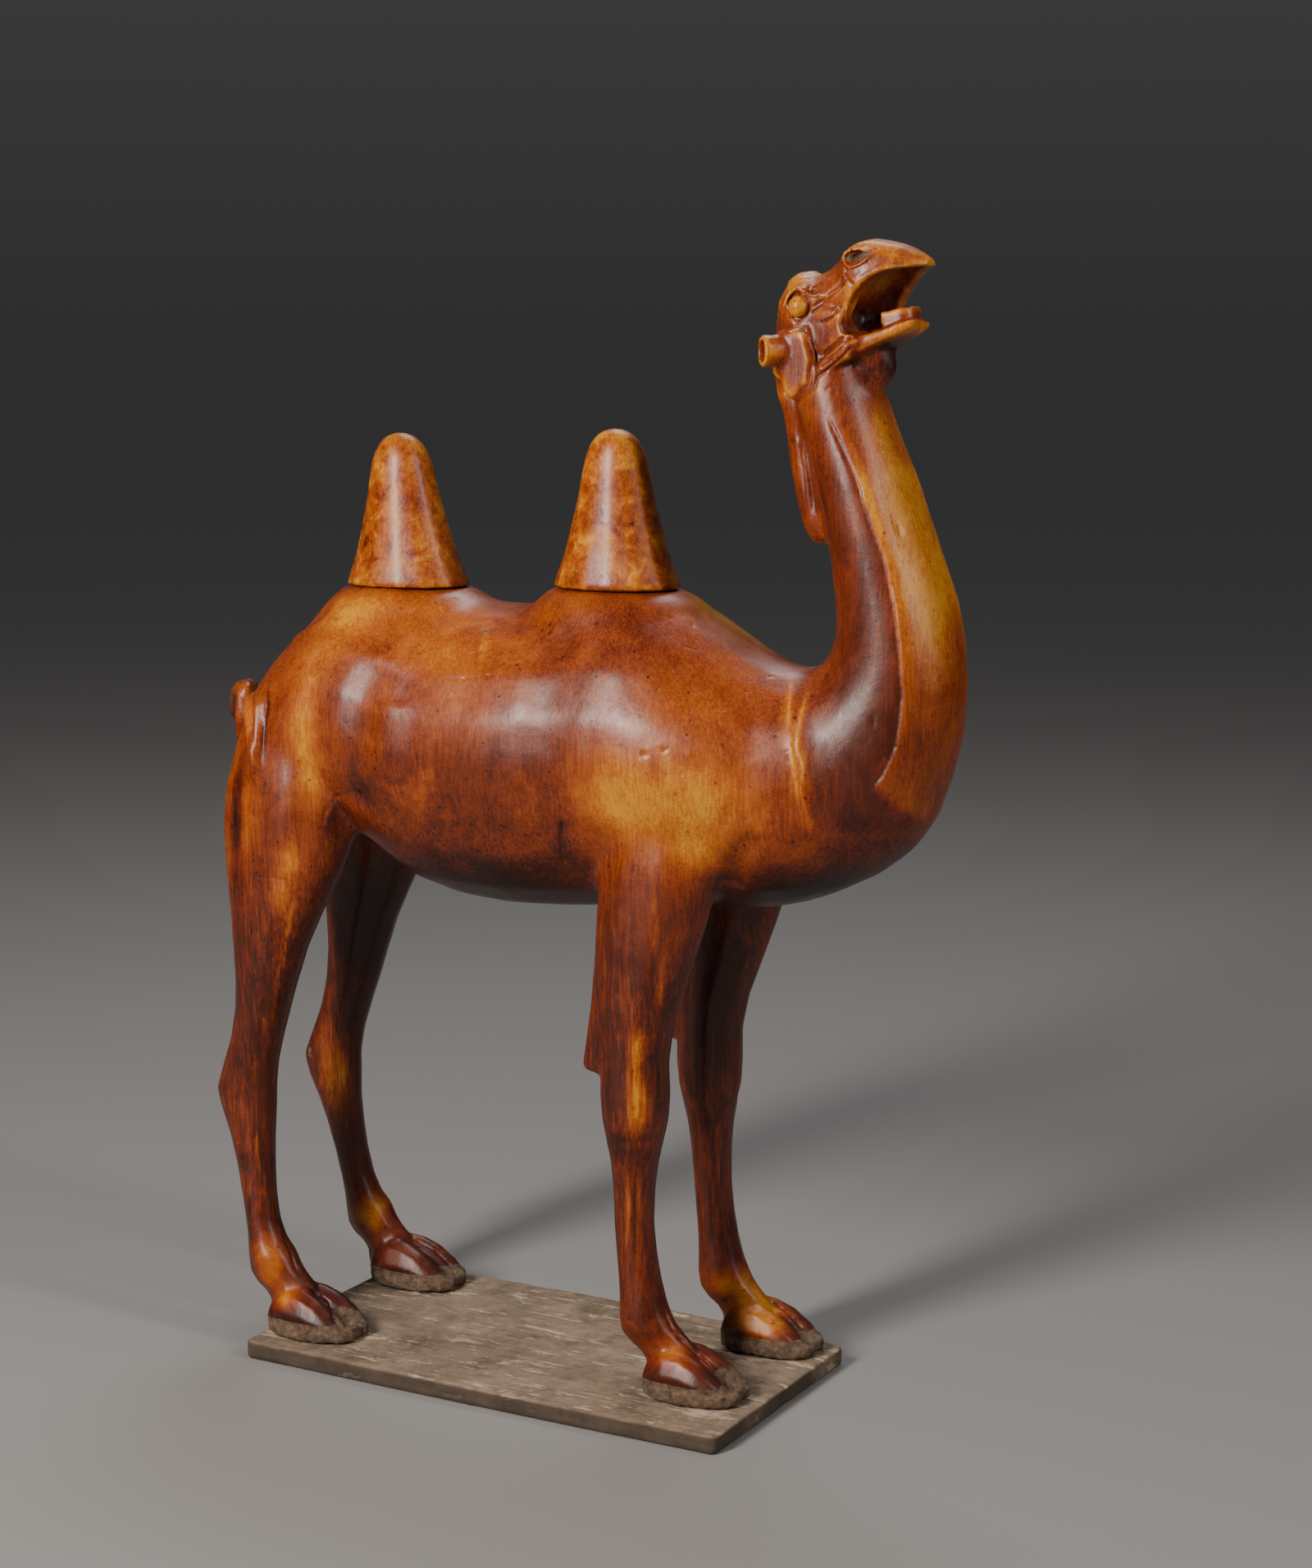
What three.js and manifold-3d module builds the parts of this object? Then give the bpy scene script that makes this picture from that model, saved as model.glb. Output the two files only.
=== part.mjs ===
// A glazed pottery camel with two humps that stands on a clay slab.
// Millimetres, +Z up, the head towards +X, the origin under the middle of the slab.
import * as THREE from 'three';
import { mergeVertices } from 'three/addons/utils/BufferGeometryUtils.js';
import Module from 'manifold-3d';

const wasm = await Module();
wasm.setup();

// Driving dimensions
const SLAB_LENGTH = 414;
const SLAB_WIDTH = 215;
const SLAB_THICKNESS = 14.5;
const SLAB_CORNER = 7;
const SLAB_NEAR_BOW = 3;
const SLAB_FAR_BOW = 18;
const SEAT_GAP = 0.3;
const SOLE_LEVEL = 13;
const SOLE_THICKNESS = 9;
const ANIMAL_TURN = THREE.MathUtils.degToRad(2.2);
const ANIMAL_OFFSET = 12;
const HEAD_TURN = THREE.MathUtils.degToRad(-6);
const HEAD_PIVOT = 215;
const GAPE_TURN = THREE.MathUtils.degToRad(-14);
const GAPE_PIVOT = 262;

const FRONT_HUMP = { x: 59, seat: 600, halfLength: 50.5, halfWidth: 38, height: 117 };
const REAR_HUMP = { x: -121, seat: 595.5, halfLength: 50.5, halfWidth: 38, height: 116 };
const SEAT_RIM = 1.5;
const SEAT_DEPTH = 45;

const FOREFOOT = { heel: 120, length: 76, y: 59, stagger: 4 };
const HINDFOOT = { heel: -204.5, length: 76, y: 70, stagger: 3 };
const FORELEG_STAGGER = 3.5;
const NEAR_KNEE_BEND = 4;
const HINDLEG_STAGGER = 0.5;

// Finishes
const amberGlaze = new THREE.MeshStandardMaterial({ color: 0x9a4a12, roughness: 0.22, metalness: 0 });
const humpGlaze = new THREE.MeshStandardMaterial({ color: 0xa4541a, roughness: 0.24, metalness: 0 });
const bareClay = new THREE.MeshStandardMaterial({ color: 0x6b5d4c, roughness: 0.92, metalness: 0 });

// A closed skin: the rows of a sphere are moved onto cross-sections, and its poles close the ends.
// A section has a centre, two half-axes, and an egg value that widens the side of the first axis.
function skin(sectionAt, sides, rows) {
  const geometry = new THREE.SphereGeometry(1, sides, rows);
  const position = geometry.getAttribute('position');
  const uv = geometry.getAttribute('uv');
  const point = new THREE.Vector3();
  for (let i = 0; i < position.count; i += 1) {
    const row = Math.round((1 - uv.getY(i)) * rows);
    const isPole = row === 0 || row === rows;
    const section = sectionAt(THREE.MathUtils.clamp((row - 1) / (rows - 2), 0, 1));
    const angle = Math.round(uv.getX(i) * sides) * 2 * Math.PI / sides;
    const deep = isPole ? 0 : rounded(Math.cos(angle), section.square);
    const wide = isPole ? 0 : rounded(Math.sin(angle), section.square) * (1 + section.egg * deep);
    point.copy(section.centre).addScaledVector(section.deep, deep).addScaledVector(section.wide, wide);
    position.setXYZ(i, point.x, point.y, point.z);
  }
  return closed(geometry);
}

// Swells a sine or cosine towards a rounded square; a square value of 0 leaves the ellipse.
function rounded(value, square) {
  return Math.sign(value) * Math.abs(value) ** (1 - square);
}

function closed(geometry) {
  geometry.deleteAttribute('normal');
  geometry.deleteAttribute('uv');
  const merged = mergeVertices(geometry, 1e-4);
  const index = Array.from(merged.getIndex().array);
  if (volume(merged) < 0) {
    index.reverse();
  }
  merged.setIndex(index);
  return merged;
}

function volume(geometry) {
  const position = geometry.getAttribute('position');
  const index = geometry.getIndex();
  const corners = [new THREE.Vector3(), new THREE.Vector3(), new THREE.Vector3()];
  let sum = 0;
  for (let i = 0; i < index.count; i += 3) {
    corners.forEach((corner, k) => corner.fromBufferAttribute(position, index.getX(i + k)));
    sum += corners[0].dot(corners[1].cross(corners[2])) / 6;
  }
  return sum;
}

// A rib is a cross-section of the animal that stands across its middle plane.
// Its back and front points are [x, z], and it is halfWidth wide to each side of y.
function rib(back, front, halfWidth, { y = 0, egg = 0, square = 0 } = {}) {
  return { back, front, halfWidth, y, egg, square };
}

// A smooth skin through ribs, side by side or one above the other
function throughRibs(ribs, sides, rows) {
  const spline = (values) => {
    const points = values.map((value) => new THREE.Vector3(...value));
    return new THREE.CatmullRomCurve3(points, false, 'catmullrom', 0.5);
  };
  const backs = spline(ribs.map((r) => [r.back[0], r.y, r.back[1]]));
  const fronts = spline(ribs.map((r) => [r.front[0], r.y, r.front[1]]));
  const shapes = spline(ribs.map((r) => [r.halfWidth, r.egg, r.square]));
  return skin((t) => {
    const back = backs.getPoint(t);
    const front = fronts.getPoint(t);
    const [halfWidth, egg, square] = shapes.getPoint(t).toArray();
    return {
      centre: back.clone().add(front).multiplyScalar(0.5),
      deep: front.clone().sub(back).multiplyScalar(0.5),
      wide: new THREE.Vector3(0, halfWidth, 0),
      egg,
      square,
    };
  }, sides, rows);
}

// A tapering strand, such as the tail, along points, with one thickness and one breadth at each
function strand(points, sizes, sides, rows) {
  const path = new THREE.CatmullRomCurve3(points.map((p) => new THREE.Vector3(...p)));
  const taper = new THREE.CatmullRomCurve3(sizes.map(([thick, broad]) => new THREE.Vector3(thick, broad, 0)));
  return skin((t) => {
    const along = path.getTangent(t);
    const deep = new THREE.Vector3(0, 1, 0).cross(along).normalize();
    const wide = along.clone().cross(deep).normalize();
    const [thick, broad] = taper.getPoint(t).toArray();
    return {
      centre: path.getPoint(t),
      deep: deep.multiplyScalar(thick),
      wide: wide.multiplyScalar(broad),
      egg: 0,
      square: 0,
    };
  }, sides, rows);
}

// A plate with a rounded edge, its outline in the middle plane, from y - halfWidth to y + halfWidth
function plate(outline, halfWidth, { y = 0, edge = 3 } = {}) {
  const shape = new THREE.Shape(outline.map(([x, z]) => new THREE.Vector2(x, z)));
  const geometry = new THREE.ExtrudeGeometry(shape, {
    depth: 2 * (halfWidth - edge),
    bevelEnabled: edge > 0,
    bevelThickness: edge,
    bevelSize: edge,
    bevelOffset: -edge,
    bevelSegments: 1,
  });
  geometry.translate(0, 0, -(halfWidth - edge));
  geometry.rotateX(Math.PI / 2);
  geometry.translate(0, y, 0);
  return closed(geometry);
}

// A ball stretched to its half-sizes, turned about Y so that a positive lean lifts its front
function ball([x, y, z], [halfLength, halfWidth, halfHeight], lean = 0) {
  const geometry = new THREE.SphereGeometry(1, 9, 6);
  geometry.scale(halfLength, halfWidth, halfHeight);
  geometry.rotateY(-lean);
  geometry.translate(x, y, z);
  return closed(geometry);
}

function mirrored(geometry) {
  const other = geometry.clone();
  other.scale(1, -1, 1);
  return closed(other);
}

function bothSides(geometry) {
  return [geometry, mirrored(geometry)];
}

function solid(geometry) {
  const mesh = new wasm.Mesh({
    numProp: 3,
    vertProperties: new Float32Array(geometry.getAttribute('position').array),
    triVerts: new Uint32Array(geometry.getIndex().array),
  });
  return new wasm.Manifold(mesh);
}

function join(geometries) {
  return geometries.map(solid).reduce((whole, piece) => whole.add(piece));
}

function surface(manifold) {
  const mesh = manifold.getMesh();
  const geometry = new THREE.BufferGeometry();
  geometry.setAttribute('position', new THREE.BufferAttribute(new Float32Array(mesh.vertProperties), 3));
  geometry.setIndex(new THREE.BufferAttribute(new Uint32Array(mesh.triVerts), 1));
  return geometry;
}

// Barrel, chest and neck: the ribs fan round the dip in front of the withers
function trunk() {
  return throughRibs([
    rib([-250, 492], [-252, 452], 24),
    rib([-242, 518], [-246, 424], 56),
    rib([-218, 548], [-226, 408], 78),
    rib([-186, 576], [-196, 404], 88),
    rib([-150, 592], [-156, 408], 93),
    rib([-105, 594], [-112, 374], 98, { egg: -0.06 }),
    rib([-55, 588], [-60, 360], 101, { egg: -0.06 }),
    rib([-5, 587], [-8, 357], 101, { egg: -0.04 }),
    rib([50, 596], [40, 360], 101, { egg: -0.04 }),
    rib([102, 598], [90, 363], 99, { egg: -0.04 }),
    rib([138, 585], [135, 366], 95),
    rib([168, 566], [175, 370], 88),
    rib([195, 553.5], [213, 376.5], 80),
    rib([214, 550], [252, 391.5], 72),
    rib([225, 553], [286.5, 414.5], 65),
    rib([232, 560], [311.5, 445.5], 59),
    rib([236, 569], [326, 484], 54),
    rib([238, 580], [332.5, 525], 51),
    rib([238, 596], [330.5, 566], 49),
    rib([235, 619], [321.5, 607], 47),
    rib([232, 648], [305.5, 648], 45),
    rib([223, 682], [290, 690], 43),
    rib([213, 716], [273.5, 728], 40),
    rib([204, 748], [262.5, 760], 36),
    rib([202, 772], [256, 784], 28),
  ], 20, 34);
}

// The flat seat that carries a hump flares down into the back, a little more in front.
// Each level has its height under the seat, its size and how far forward it lies.
function humpSeat({ x, seat, halfLength, halfWidth }) {
  const levels = [[0, 1, 0], [-4, 1.12, 2], [-9, 1.28, 3.6], [-28, 1.62, 4], [-SEAT_DEPTH, 1.7, 4]];
  return skin((t) => {
    const place = t * (levels.length - 1);
    const from = Math.min(Math.floor(place), levels.length - 2);
    const [drop, flare, forward] = levels[from].map(
      (value, k) => THREE.MathUtils.lerp(value, levels[from + 1][k], place - from),
    );
    return {
      centre: new THREE.Vector3(x + forward, 0, seat + drop),
      deep: new THREE.Vector3((halfLength + SEAT_RIM) * flare, 0, 0),
      wide: new THREE.Vector3(0, (halfWidth + SEAT_RIM) * flare, 0),
      egg: 0,
      square: 0,
    };
  }, 16, levels.length + 1);
}

// A foreleg, from inside the shoulder to the foot; side is -1 for the near and 1 for the far leg.
// The far one stands a little further forward, and the knee of the near one is carried forward.
function foreleg(side) {
  const leg = (back, front, y, halfWidth, bend = 0) => {
    const forward = side < 0 ? bend * NEAR_KNEE_BEND : 0;
    const ends = [back, front].map(([x, z]) => [x + forward, z]);
    return strideRib(...ends, y, halfWidth, side, FORELEG_STAGGER);
  };
  return throughRibs([
    leg([90, 450], [170, 450], 58, 30),
    leg([77, 400], [177, 400], 60, 31),
    leg([77, 358], [163, 358], 61, 29),
    leg([77, 322], [150, 322], 61, 27),
    leg([77, 290], [137, 290], 60, 26, 0.4),
    leg([77.5, 258], [130, 258], 60, 25.5, 0.9),
    leg([77.5, 228], [130.5, 228], 60, 26, 1),
    leg([81, 209], [127.5, 209], 60, 24, 0.9),
    leg([86, 190], [123.5, 190], 60, 20, 0.7),
    leg([89.5, 165], [121.5, 165], 60, 17, 0.35),
    leg([92, 135], [122, 135], 60, 15.5),
    leg([94.5, 107], [126, 107], 60, 15.5),
    leg([96, 86], [131, 86], 60, 16.5),
    leg([95.5, 70], [135, 74], 60, 18.5),
    leg([98, 55], [141, 63], 60, 18),
    leg([107, 45.5], [147, 57], 59, 16),
    leg([116, 39], [152, 52], 59, 15.5),
    leg([118, 30], [158, 44], 59, 18),
    leg([120, 22], [160, 30], 59, 18),
  ], 10, 24);
}

// A rib of a leg; the far leg is a stagger ahead of the middle place and the near one behind it
function strideRib([backX, backZ], [frontX, frontZ], y, halfWidth, side, stagger) {
  const shift = side * stagger;
  return rib([backX + shift, backZ], [frontX + shift, frontZ], halfWidth, { y: side * y });
}

// The lock of long hair behind the forearm, cut off flat below
function elbowLock(side) {
  const outline = [[96, 392], [80, 382], [75, 350], [71, 300], [64, 254], [66, 251], [81, 248], [96, 264]];
  return plate(outline, 11, { y: side * 61, edge: 4 });
}

// A hind leg, from inside the thigh over the hock, which turns in a little, to the foot
function hindleg(side) {
  const leg = (back, front, y, halfWidth) => strideRib(back, front, y, halfWidth, side, HINDLEG_STAGGER);
  return throughRibs([
    leg([-216, 520], [-164, 520], 46, 30),
    leg([-242, 478], [-142, 478], 52, 38),
    leg([-253.5, 432], [-132, 432], 56, 39),
    leg([-252, 392], [-139.5, 392], 61, 35),
    leg([-244.5, 352], [-161, 352], 64, 30),
    leg([-241, 318], [-178.5, 318], 65, 26),
    leg([-240, 286], [-190.5, 286], 65, 23.5),
    leg([-243.5, 256], [-200, 256], 64, 21.5),
    leg([-252, 228], [-208, 231], 62.5, 20),
    leg([-263.5, 203], [-212, 207], 61, 19.5),
    leg([-259.5, 183], [-212.5, 187], 61, 18.5),
    leg([-249.5, 160], [-214, 160], 62.5, 16.5),
    leg([-242, 134], [-212.5, 134], 65, 15),
    leg([-235.5, 106], [-209, 106], 67.5, 15),
    leg([-232, 86], [-202, 86], 69, 16),
    leg([-230.5, 70], [-192, 74], 70, 18.5),
    leg([-228.5, 55], [-186, 63], 70, 18),
    leg([-221, 45.5], [-180, 57], 70, 16),
    leg([-212, 39], [-175, 52], 70, 15.5),
    leg([-210, 30], [-169, 44], 70, 18),
    leg([-208, 22], [-167, 30], 70, 18),
  ], 10, 26);
}

// One toe from its heel to its tip; two of them, side by side, leave the cleft of the foot
function toe({ heel, length, y }, side, half) {
  const along = (share) => heel + share * length;
  const place = (offset) => ({ y: side * y + half * offset, egg: 0.2, square: 0.1 });
  const bed = SOLE_LEVEL + 2;
  return throughRibs([
    rib([along(0.0), 29], [along(0.0), bed + 6], 6, place(8)),
    rib([along(0.06), 40], [along(0.05), bed], 13, place(9)),
    rib([along(0.25), 50], [along(0.24), bed], 16, place(10)),
    rib([along(0.45), 48.5], [along(0.43), bed], 15.5, place(11.5)),
    rib([along(0.63), 42.5], [along(0.62), bed], 14, place(13)),
    rib([along(0.8), 33], [along(0.8), bed], 11.5, place(13.5)),
    rib([along(0.93), 25], [along(0.93), bed], 7, place(12.5)),
    rib([along(0.98), 19], [along(0.98), bed], 3, place(12)),
  ], 8, 9);
}

// The unglazed clay that beds a foot on the slab
function sole({ heel, length, y }, side) {
  const shape = new THREE.Shape();
  const tip = heel + length;
  const middle = side * y;
  shape.moveTo(heel - 3, middle);
  shape.bezierCurveTo(heel - 3, middle + 22, heel + 12, middle + 29, heel + 34, middle + 29);
  shape.bezierCurveTo(tip - 20, middle + 29, tip, middle + 24, tip + 2, middle + 10);
  shape.lineTo(tip - 1, middle);
  shape.lineTo(tip + 2, middle - 10);
  shape.bezierCurveTo(tip, middle - 24, tip - 20, middle - 29, heel + 34, middle - 29);
  shape.bezierCurveTo(heel + 12, middle - 29, heel - 3, middle - 22, heel - 3, middle);
  const geometry = new THREE.ExtrudeGeometry(shape, {
    depth: SOLE_THICKNESS - 2,
    curveSegments: 3,
    bevelThickness: 2,
    bevelSize: 2,
    bevelOffset: -2,
    bevelSegments: 1,
  });
  geometry.translate(0, 0, SOLE_LEVEL + 2);
  return closed(geometry);
}

function foot({ heel, length, y, stagger }, side) {
  const place = { heel: heel + side * stagger, length, y };
  return [toe(place, side, 1), toe(place, side, -1), sole(place, side)];
}

// The tail swings up behind the rump and lies over the near buttock in a pointed lock
function tail() {
  return strand(
    [
      [-238, 14, 466], [-264, 12, 471], [-284, 7, 486], [-273, -6, 505],
      [-254, -26, 511], [-249, -42, 486], [-246, -48, 462], [-243, -48, 441],
    ],
    [[8, 8], [8, 10], [9, 11], [8, 12], [7, 12], [7, 10], [5, 7], [2, 2]],
    7, 12,
  );
}

// The strip of mane down the back of the neck, rounded off below
function mane() {
  return throughRibs([
    rib([187, 790], [207, 790], 12),
    rib([185, 764], [210, 764], 15),
    rib([190, 735], [216, 737], 16, { square: 0.1 }),
    rib([197, 706], [224, 709], 16, { square: 0.1 }),
    rib([204, 677], [232, 681], 16, { square: 0.1 }),
    rib([209, 652], [238, 657], 15),
    rib([217, 637], [242, 643], 10),
  ], 8, 10);
}

// The skull from the nape to the tip of the upper lip
function skull() {
  return throughRibs([
    rib([184, 760], [214, 748], 20),
    rib([190, 786], [236, 752], 29),
    rib([192, 811], [246, 768], 31),
    rib([204.5, 826], [247, 785], 31),
    rib([223, 827], [250, 796], 29),
    rib([238, 834.5], [256, 792], 29, { egg: 0.2, square: 0.1 }),
    rib([250.5, 847], [266, 790], 31, { egg: 0.1, square: 0.25 }),
    rib([262, 851], [276, 796], 30.5, { egg: 0.1, square: 0.3 }),
    rib([277, 849.5], [285, 805], 28, { egg: 0.1, square: 0.3 }),
    rib([293, 845], [296, 816], 20, { egg: 0.1, square: 0.25 }),
    rib([308, 836.5], [308, 829], 6),
  ], 12, 17);
}

// The cheeks close the corners of the mouth and carry the locks of hair
function cheeks() {
  return throughRibs([
    rib([204, 800], [206, 744], 27, { square: 0.25 }),
    rib([222, 816], [226, 752], 30, { square: 0.25 }),
    rib([238, 820], [242, 758], 31, { square: 0.25 }),
    rib([254, 812], [255, 765], 33, { square: 0.25 }),
    rib([264, 804], [262, 778], 33, { square: 0.25 }),
  ], 10, 7);
}

// The brow and the tuft of hair above the eyes
function forelock() {
  return ball([211, 0, 818], [16, 17, 12], 0.2);
}

// The lower jaw, with the ridge of the lip and the plate of the front teeth
function lowerJaw() {
  return throughRibs([
    rib([240, 788], [250, 762], 28),
    rib([256, 788], [263, 767], 28, { square: 0.3 }),
    rib([270, 788], [274, 775], 25, { square: 0.4 }),
    rib([283, 792], [285, 780.5], 21, { square: 0.45 }),
    rib([294, 797], [295, 785], 17, { square: 0.45 }),
    rib([301.5, 799.5], [302, 789], 13.5, { square: 0.35 }),
  ], 10, 9);
}

function teeth() {
  const shape = new THREE.Shape();
  shape.moveTo(279, -15);
  shape.lineTo(293, -13);
  shape.quadraticCurveTo(301, -11, 301, 0);
  shape.quadraticCurveTo(301, 11, 293, 13);
  shape.lineTo(279, 15);
  shape.lineTo(279, 11.5);
  shape.lineTo(291, 9.5);
  shape.quadraticCurveTo(297, 8, 297, 0);
  shape.quadraticCurveTo(297, -8, 291, -9.5);
  shape.lineTo(279, -11.5);
  const options = { depth: 17, bevelEnabled: false, curveSegments: 3 };
  const geometry = new THREE.ExtrudeGeometry(shape, options);
  geometry.translate(-290, 0, 0);
  geometry.rotateY(-0.22);
  geometry.translate(290, 0, 786);
  return closed(geometry);
}

// The open mouth between the lips, cut through from side to side, a little further back on the near side
function gape() {
  const outline = [
    [330, 834], [312, 832.5], [299, 831], [290, 829], [283, 825.5], [275, 819], [268, 810.5], [263, 801],
    [261.5, 792], [264, 785.5], [272, 785], [284, 789], [297, 794.5], [330, 804],
  ];
  const cut = plate(outline, 45, { edge: 0 });
  cut.translate(-GAPE_PIVOT, 0, 0);
  cut.rotateZ(GAPE_TURN);
  cut.translate(GAPE_PIVOT, 0, 0);
  return cut;
}

// The hollow of the mouth behind the lips, up into the palate
function palate() {
  return throughRibs([
    rib([247, 803], [248, 789], 12),
    rib([255, 814], [257, 786], 20),
    rib([265, 828], [268, 787], 23),
    rib([278, 837], [282, 789], 21),
    rib([291, 837], [294, 792], 16),
    rib([302, 833.5], [306, 796], 9),
  ], 9, 7);
}

// The pouch of loose skin under the chin
function throat() {
  return throughRibs([
    rib([240, 784], [270, 782], 23),
    rib([238, 774], [280, 774], 20),
    rib([237, 762], [284, 764], 16),
    rib([238, 749], [280, 753], 14),
    rib([240, 740], [267, 742], 9),
  ], 8, 6);
}

// The flat lobed lock of hair on the cheek and the second lock behind the corner of the mouth
function cheekLock() {
  const outline = [[204, 788], [228, 791], [235, 768], [233, 751], [217, 738], [210, 745], [203, 764]];
  return plate(outline, 35, { edge: 4 });
}

function jawLock() {
  const outline = [[266, 782], [260, 769], [245, 760], [231, 750], [229, 757], [238, 769], [252, 782]];
  return plate(outline, 33, { edge: 4 });
}

function eye() {
  return ball([219.5, -29, 803.5], [6.8, 6, 6.8]);
}

function eyelid() {
  const rim = new THREE.TorusGeometry(8.8, 2.1, 3, 10);
  rim.scale(1, 1.35, 1);
  rim.rotateX(Math.PI / 2);
  rim.rotateZ(0.12);
  rim.translate(219, -29.5, 805);
  return closed(rim);
}

function nostrilRim() {
  const rim = new THREE.TorusGeometry(6.5, 1.8, 3, 9);
  rim.scale(1.5, 0.8, 1);
  rim.rotateX(Math.PI / 2);
  rim.rotateY(-0.3);
  rim.translate(261, -25, 838.5);
  return closed(rim);
}

function nostrilHollow() {
  return ball([262, -27, 838.5], [8.2, 6, 3.4], 0.3);
}

// An ear is a short tube that points back and out, with its end hollowed
function ear(radius, length, reach) {
  const tube = new THREE.CylinderGeometry(radius, radius * 0.95, length, 10, 1);
  tube.rotateZ(Math.PI / 2);
  tube.translate(-reach, 0, 0);
  tube.rotateZ(THREE.MathUtils.degToRad(50));
  tube.translate(211, -25, 774);
  return closed(tube);
}

function head() {
  const outside = join([
    skull(), cheeks(), forelock(), lowerJaw(), throat(), cheekLock(), jawLock(), mane(),
    ...bothSides(eyelid()), ...bothSides(nostrilRim()), ...bothSides(ear(11.5, 26, 9)),
  ]);
  const hollows = join([
    gape(), palate(), ...bothSides(nostrilHollow()), ...bothSides(ear(7.5, 10, 20)),
  ]);
  return outside.subtract(hollows).add(join([teeth(), ...bothSides(eye())]));
}

function turnHead(manifold) {
  const geometry = surface(manifold);
  geometry.translate(-HEAD_PIVOT, 0, 0);
  geometry.rotateZ(HEAD_TURN);
  geometry.translate(HEAD_PIVOT, 0, 0);
  return solid(geometry);
}

function camel() {
  const body = join([trunk(), humpSeat(FRONT_HUMP), humpSeat(REAR_HUMP), tail()]);
  const legs = [-1, 1].map((side) => join([
    foreleg(side), elbowLock(side), hindleg(side),
    ...foot(FOREFOOT, side), ...foot(HINDFOOT, side),
  ]));
  return surface(body.add(legs[0]).add(legs[1]).add(turnHead(head())));
}

// A hump is a tall rounded cap with a flared lip that stands loose on its seat
function hump({ x, seat, halfLength, halfWidth, height }, lean) {
  const levels = [
    [0, 1], [0.03, 0.99], [0.13, 0.88], [0.38, 0.7], [0.58, 0.58],
    [0.78, 0.49], [0.89, 0.4], [0.965, 0.27], [1, 0.06],
  ];
  const taper = new THREE.CatmullRomCurve3(levels.map(([up, size]) => new THREE.Vector3(up, size, 0)));
  return skin((t) => {
    const [up, size] = taper.getPoint(t).toArray();
    const slim = THREE.MathUtils.lerp(1, 1.2, up);
    return {
      centre: new THREE.Vector3(x + lean * up, 0, seat + SEAT_GAP + up * height),
      deep: new THREE.Vector3(halfLength * size, 0, 0),
      wide: new THREE.Vector3(0, halfWidth * size * slim, 0),
      egg: 0,
      square: 0,
    };
  }, 14, 12);
}

// The slab, with worn corners and its long sides very slightly bowed
function plinth() {
  const shape = new THREE.Shape();
  const x = SLAB_LENGTH / 2;
  const y = SLAB_WIDTH / 2;
  const r = SLAB_CORNER;
  shape.moveTo(r - x, -y);
  shape.quadraticCurveTo(0, -y - SLAB_NEAR_BOW, x - r, -y);
  shape.quadraticCurveTo(x, -y, x, r - y);
  shape.lineTo(x, y - r);
  shape.quadraticCurveTo(x, y, x - r, y);
  shape.quadraticCurveTo(0, y + SLAB_FAR_BOW, r - x, y);
  shape.quadraticCurveTo(-x, y, -x, y - r);
  shape.lineTo(-x, r - y);
  shape.quadraticCurveTo(-x, -y, r - x, -y);
  const edge = 1.2;
  const geometry = new THREE.ExtrudeGeometry(shape, {
    depth: SLAB_THICKNESS - 2 * edge,
    bevelThickness: edge,
    bevelSize: edge,
    bevelOffset: -edge,
    bevelSegments: 1,
    curveSegments: 4,
  });
  return closed(geometry.translate(0, 0, edge));
}

function part(name, geometry, material) {
  const mesh = new THREE.Mesh(geometry, material);
  mesh.name = name;
  return mesh;
}

const animal = new THREE.Group();
animal.add(
  part('camel', camel(), amberGlaze),
  part('hump_front', hump(FRONT_HUMP, -1), humpGlaze),
  part('hump_rear', hump(REAR_HUMP, -6), humpGlaze),
);
animal.rotation.z = ANIMAL_TURN;
animal.position.y = ANIMAL_OFFSET;
animal.position.z = SLAB_THICKNESS + SEAT_GAP - SOLE_LEVEL;

const figure = new THREE.Group();
figure.add(animal, part('plinth', plinth(), bareClay));

export default figure;
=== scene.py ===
import math

import bmesh
import bpy
import numpy as np
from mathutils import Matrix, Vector


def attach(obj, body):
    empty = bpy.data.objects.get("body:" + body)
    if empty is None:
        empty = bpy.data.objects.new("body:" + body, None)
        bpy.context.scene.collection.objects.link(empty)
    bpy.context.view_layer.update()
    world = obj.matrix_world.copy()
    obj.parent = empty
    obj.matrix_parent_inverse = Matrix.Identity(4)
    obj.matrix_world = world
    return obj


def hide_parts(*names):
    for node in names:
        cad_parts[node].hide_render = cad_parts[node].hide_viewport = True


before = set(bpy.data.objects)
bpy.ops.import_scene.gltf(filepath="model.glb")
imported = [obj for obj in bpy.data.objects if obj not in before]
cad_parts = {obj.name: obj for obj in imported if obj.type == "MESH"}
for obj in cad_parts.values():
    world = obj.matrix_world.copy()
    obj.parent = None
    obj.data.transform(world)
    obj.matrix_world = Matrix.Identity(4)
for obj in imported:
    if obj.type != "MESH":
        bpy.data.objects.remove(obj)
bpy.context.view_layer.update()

# Camera
# It stands in front of the camel's near shoulder and a little above its back, and looks slightly down.
# Its focal length is in pixels of the 1600 x 1912 picture.
PICTURE_HEIGHT = 1912
PICTURE_MIDDLE = (800, 956)
FOCAL_PIXELS = 3500
SENSOR = 36.0
CAMERA_AZIMUTH = math.radians(28.92)
CAMERA_TILT = math.radians(8.91)
CAMERA_PLACE = Vector((1.1077, -1.8247, 0.7875))

camera_data = bpy.data.cameras.new("camera")
camera_data.sensor_fit = "VERTICAL"
camera_data.sensor_height = SENSOR
camera_data.lens = FOCAL_PIXELS / PICTURE_HEIGHT * SENSOR
camera = bpy.data.objects.new("camera", camera_data)
camera.location = CAMERA_PLACE
camera.rotation_euler = (math.pi / 2 - CAMERA_TILT, 0, CAMERA_AZIMUTH)
bpy.context.collection.objects.link(camera)
bpy.context.scene.camera = camera
camera_turn = camera.rotation_euler.to_matrix()


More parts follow.
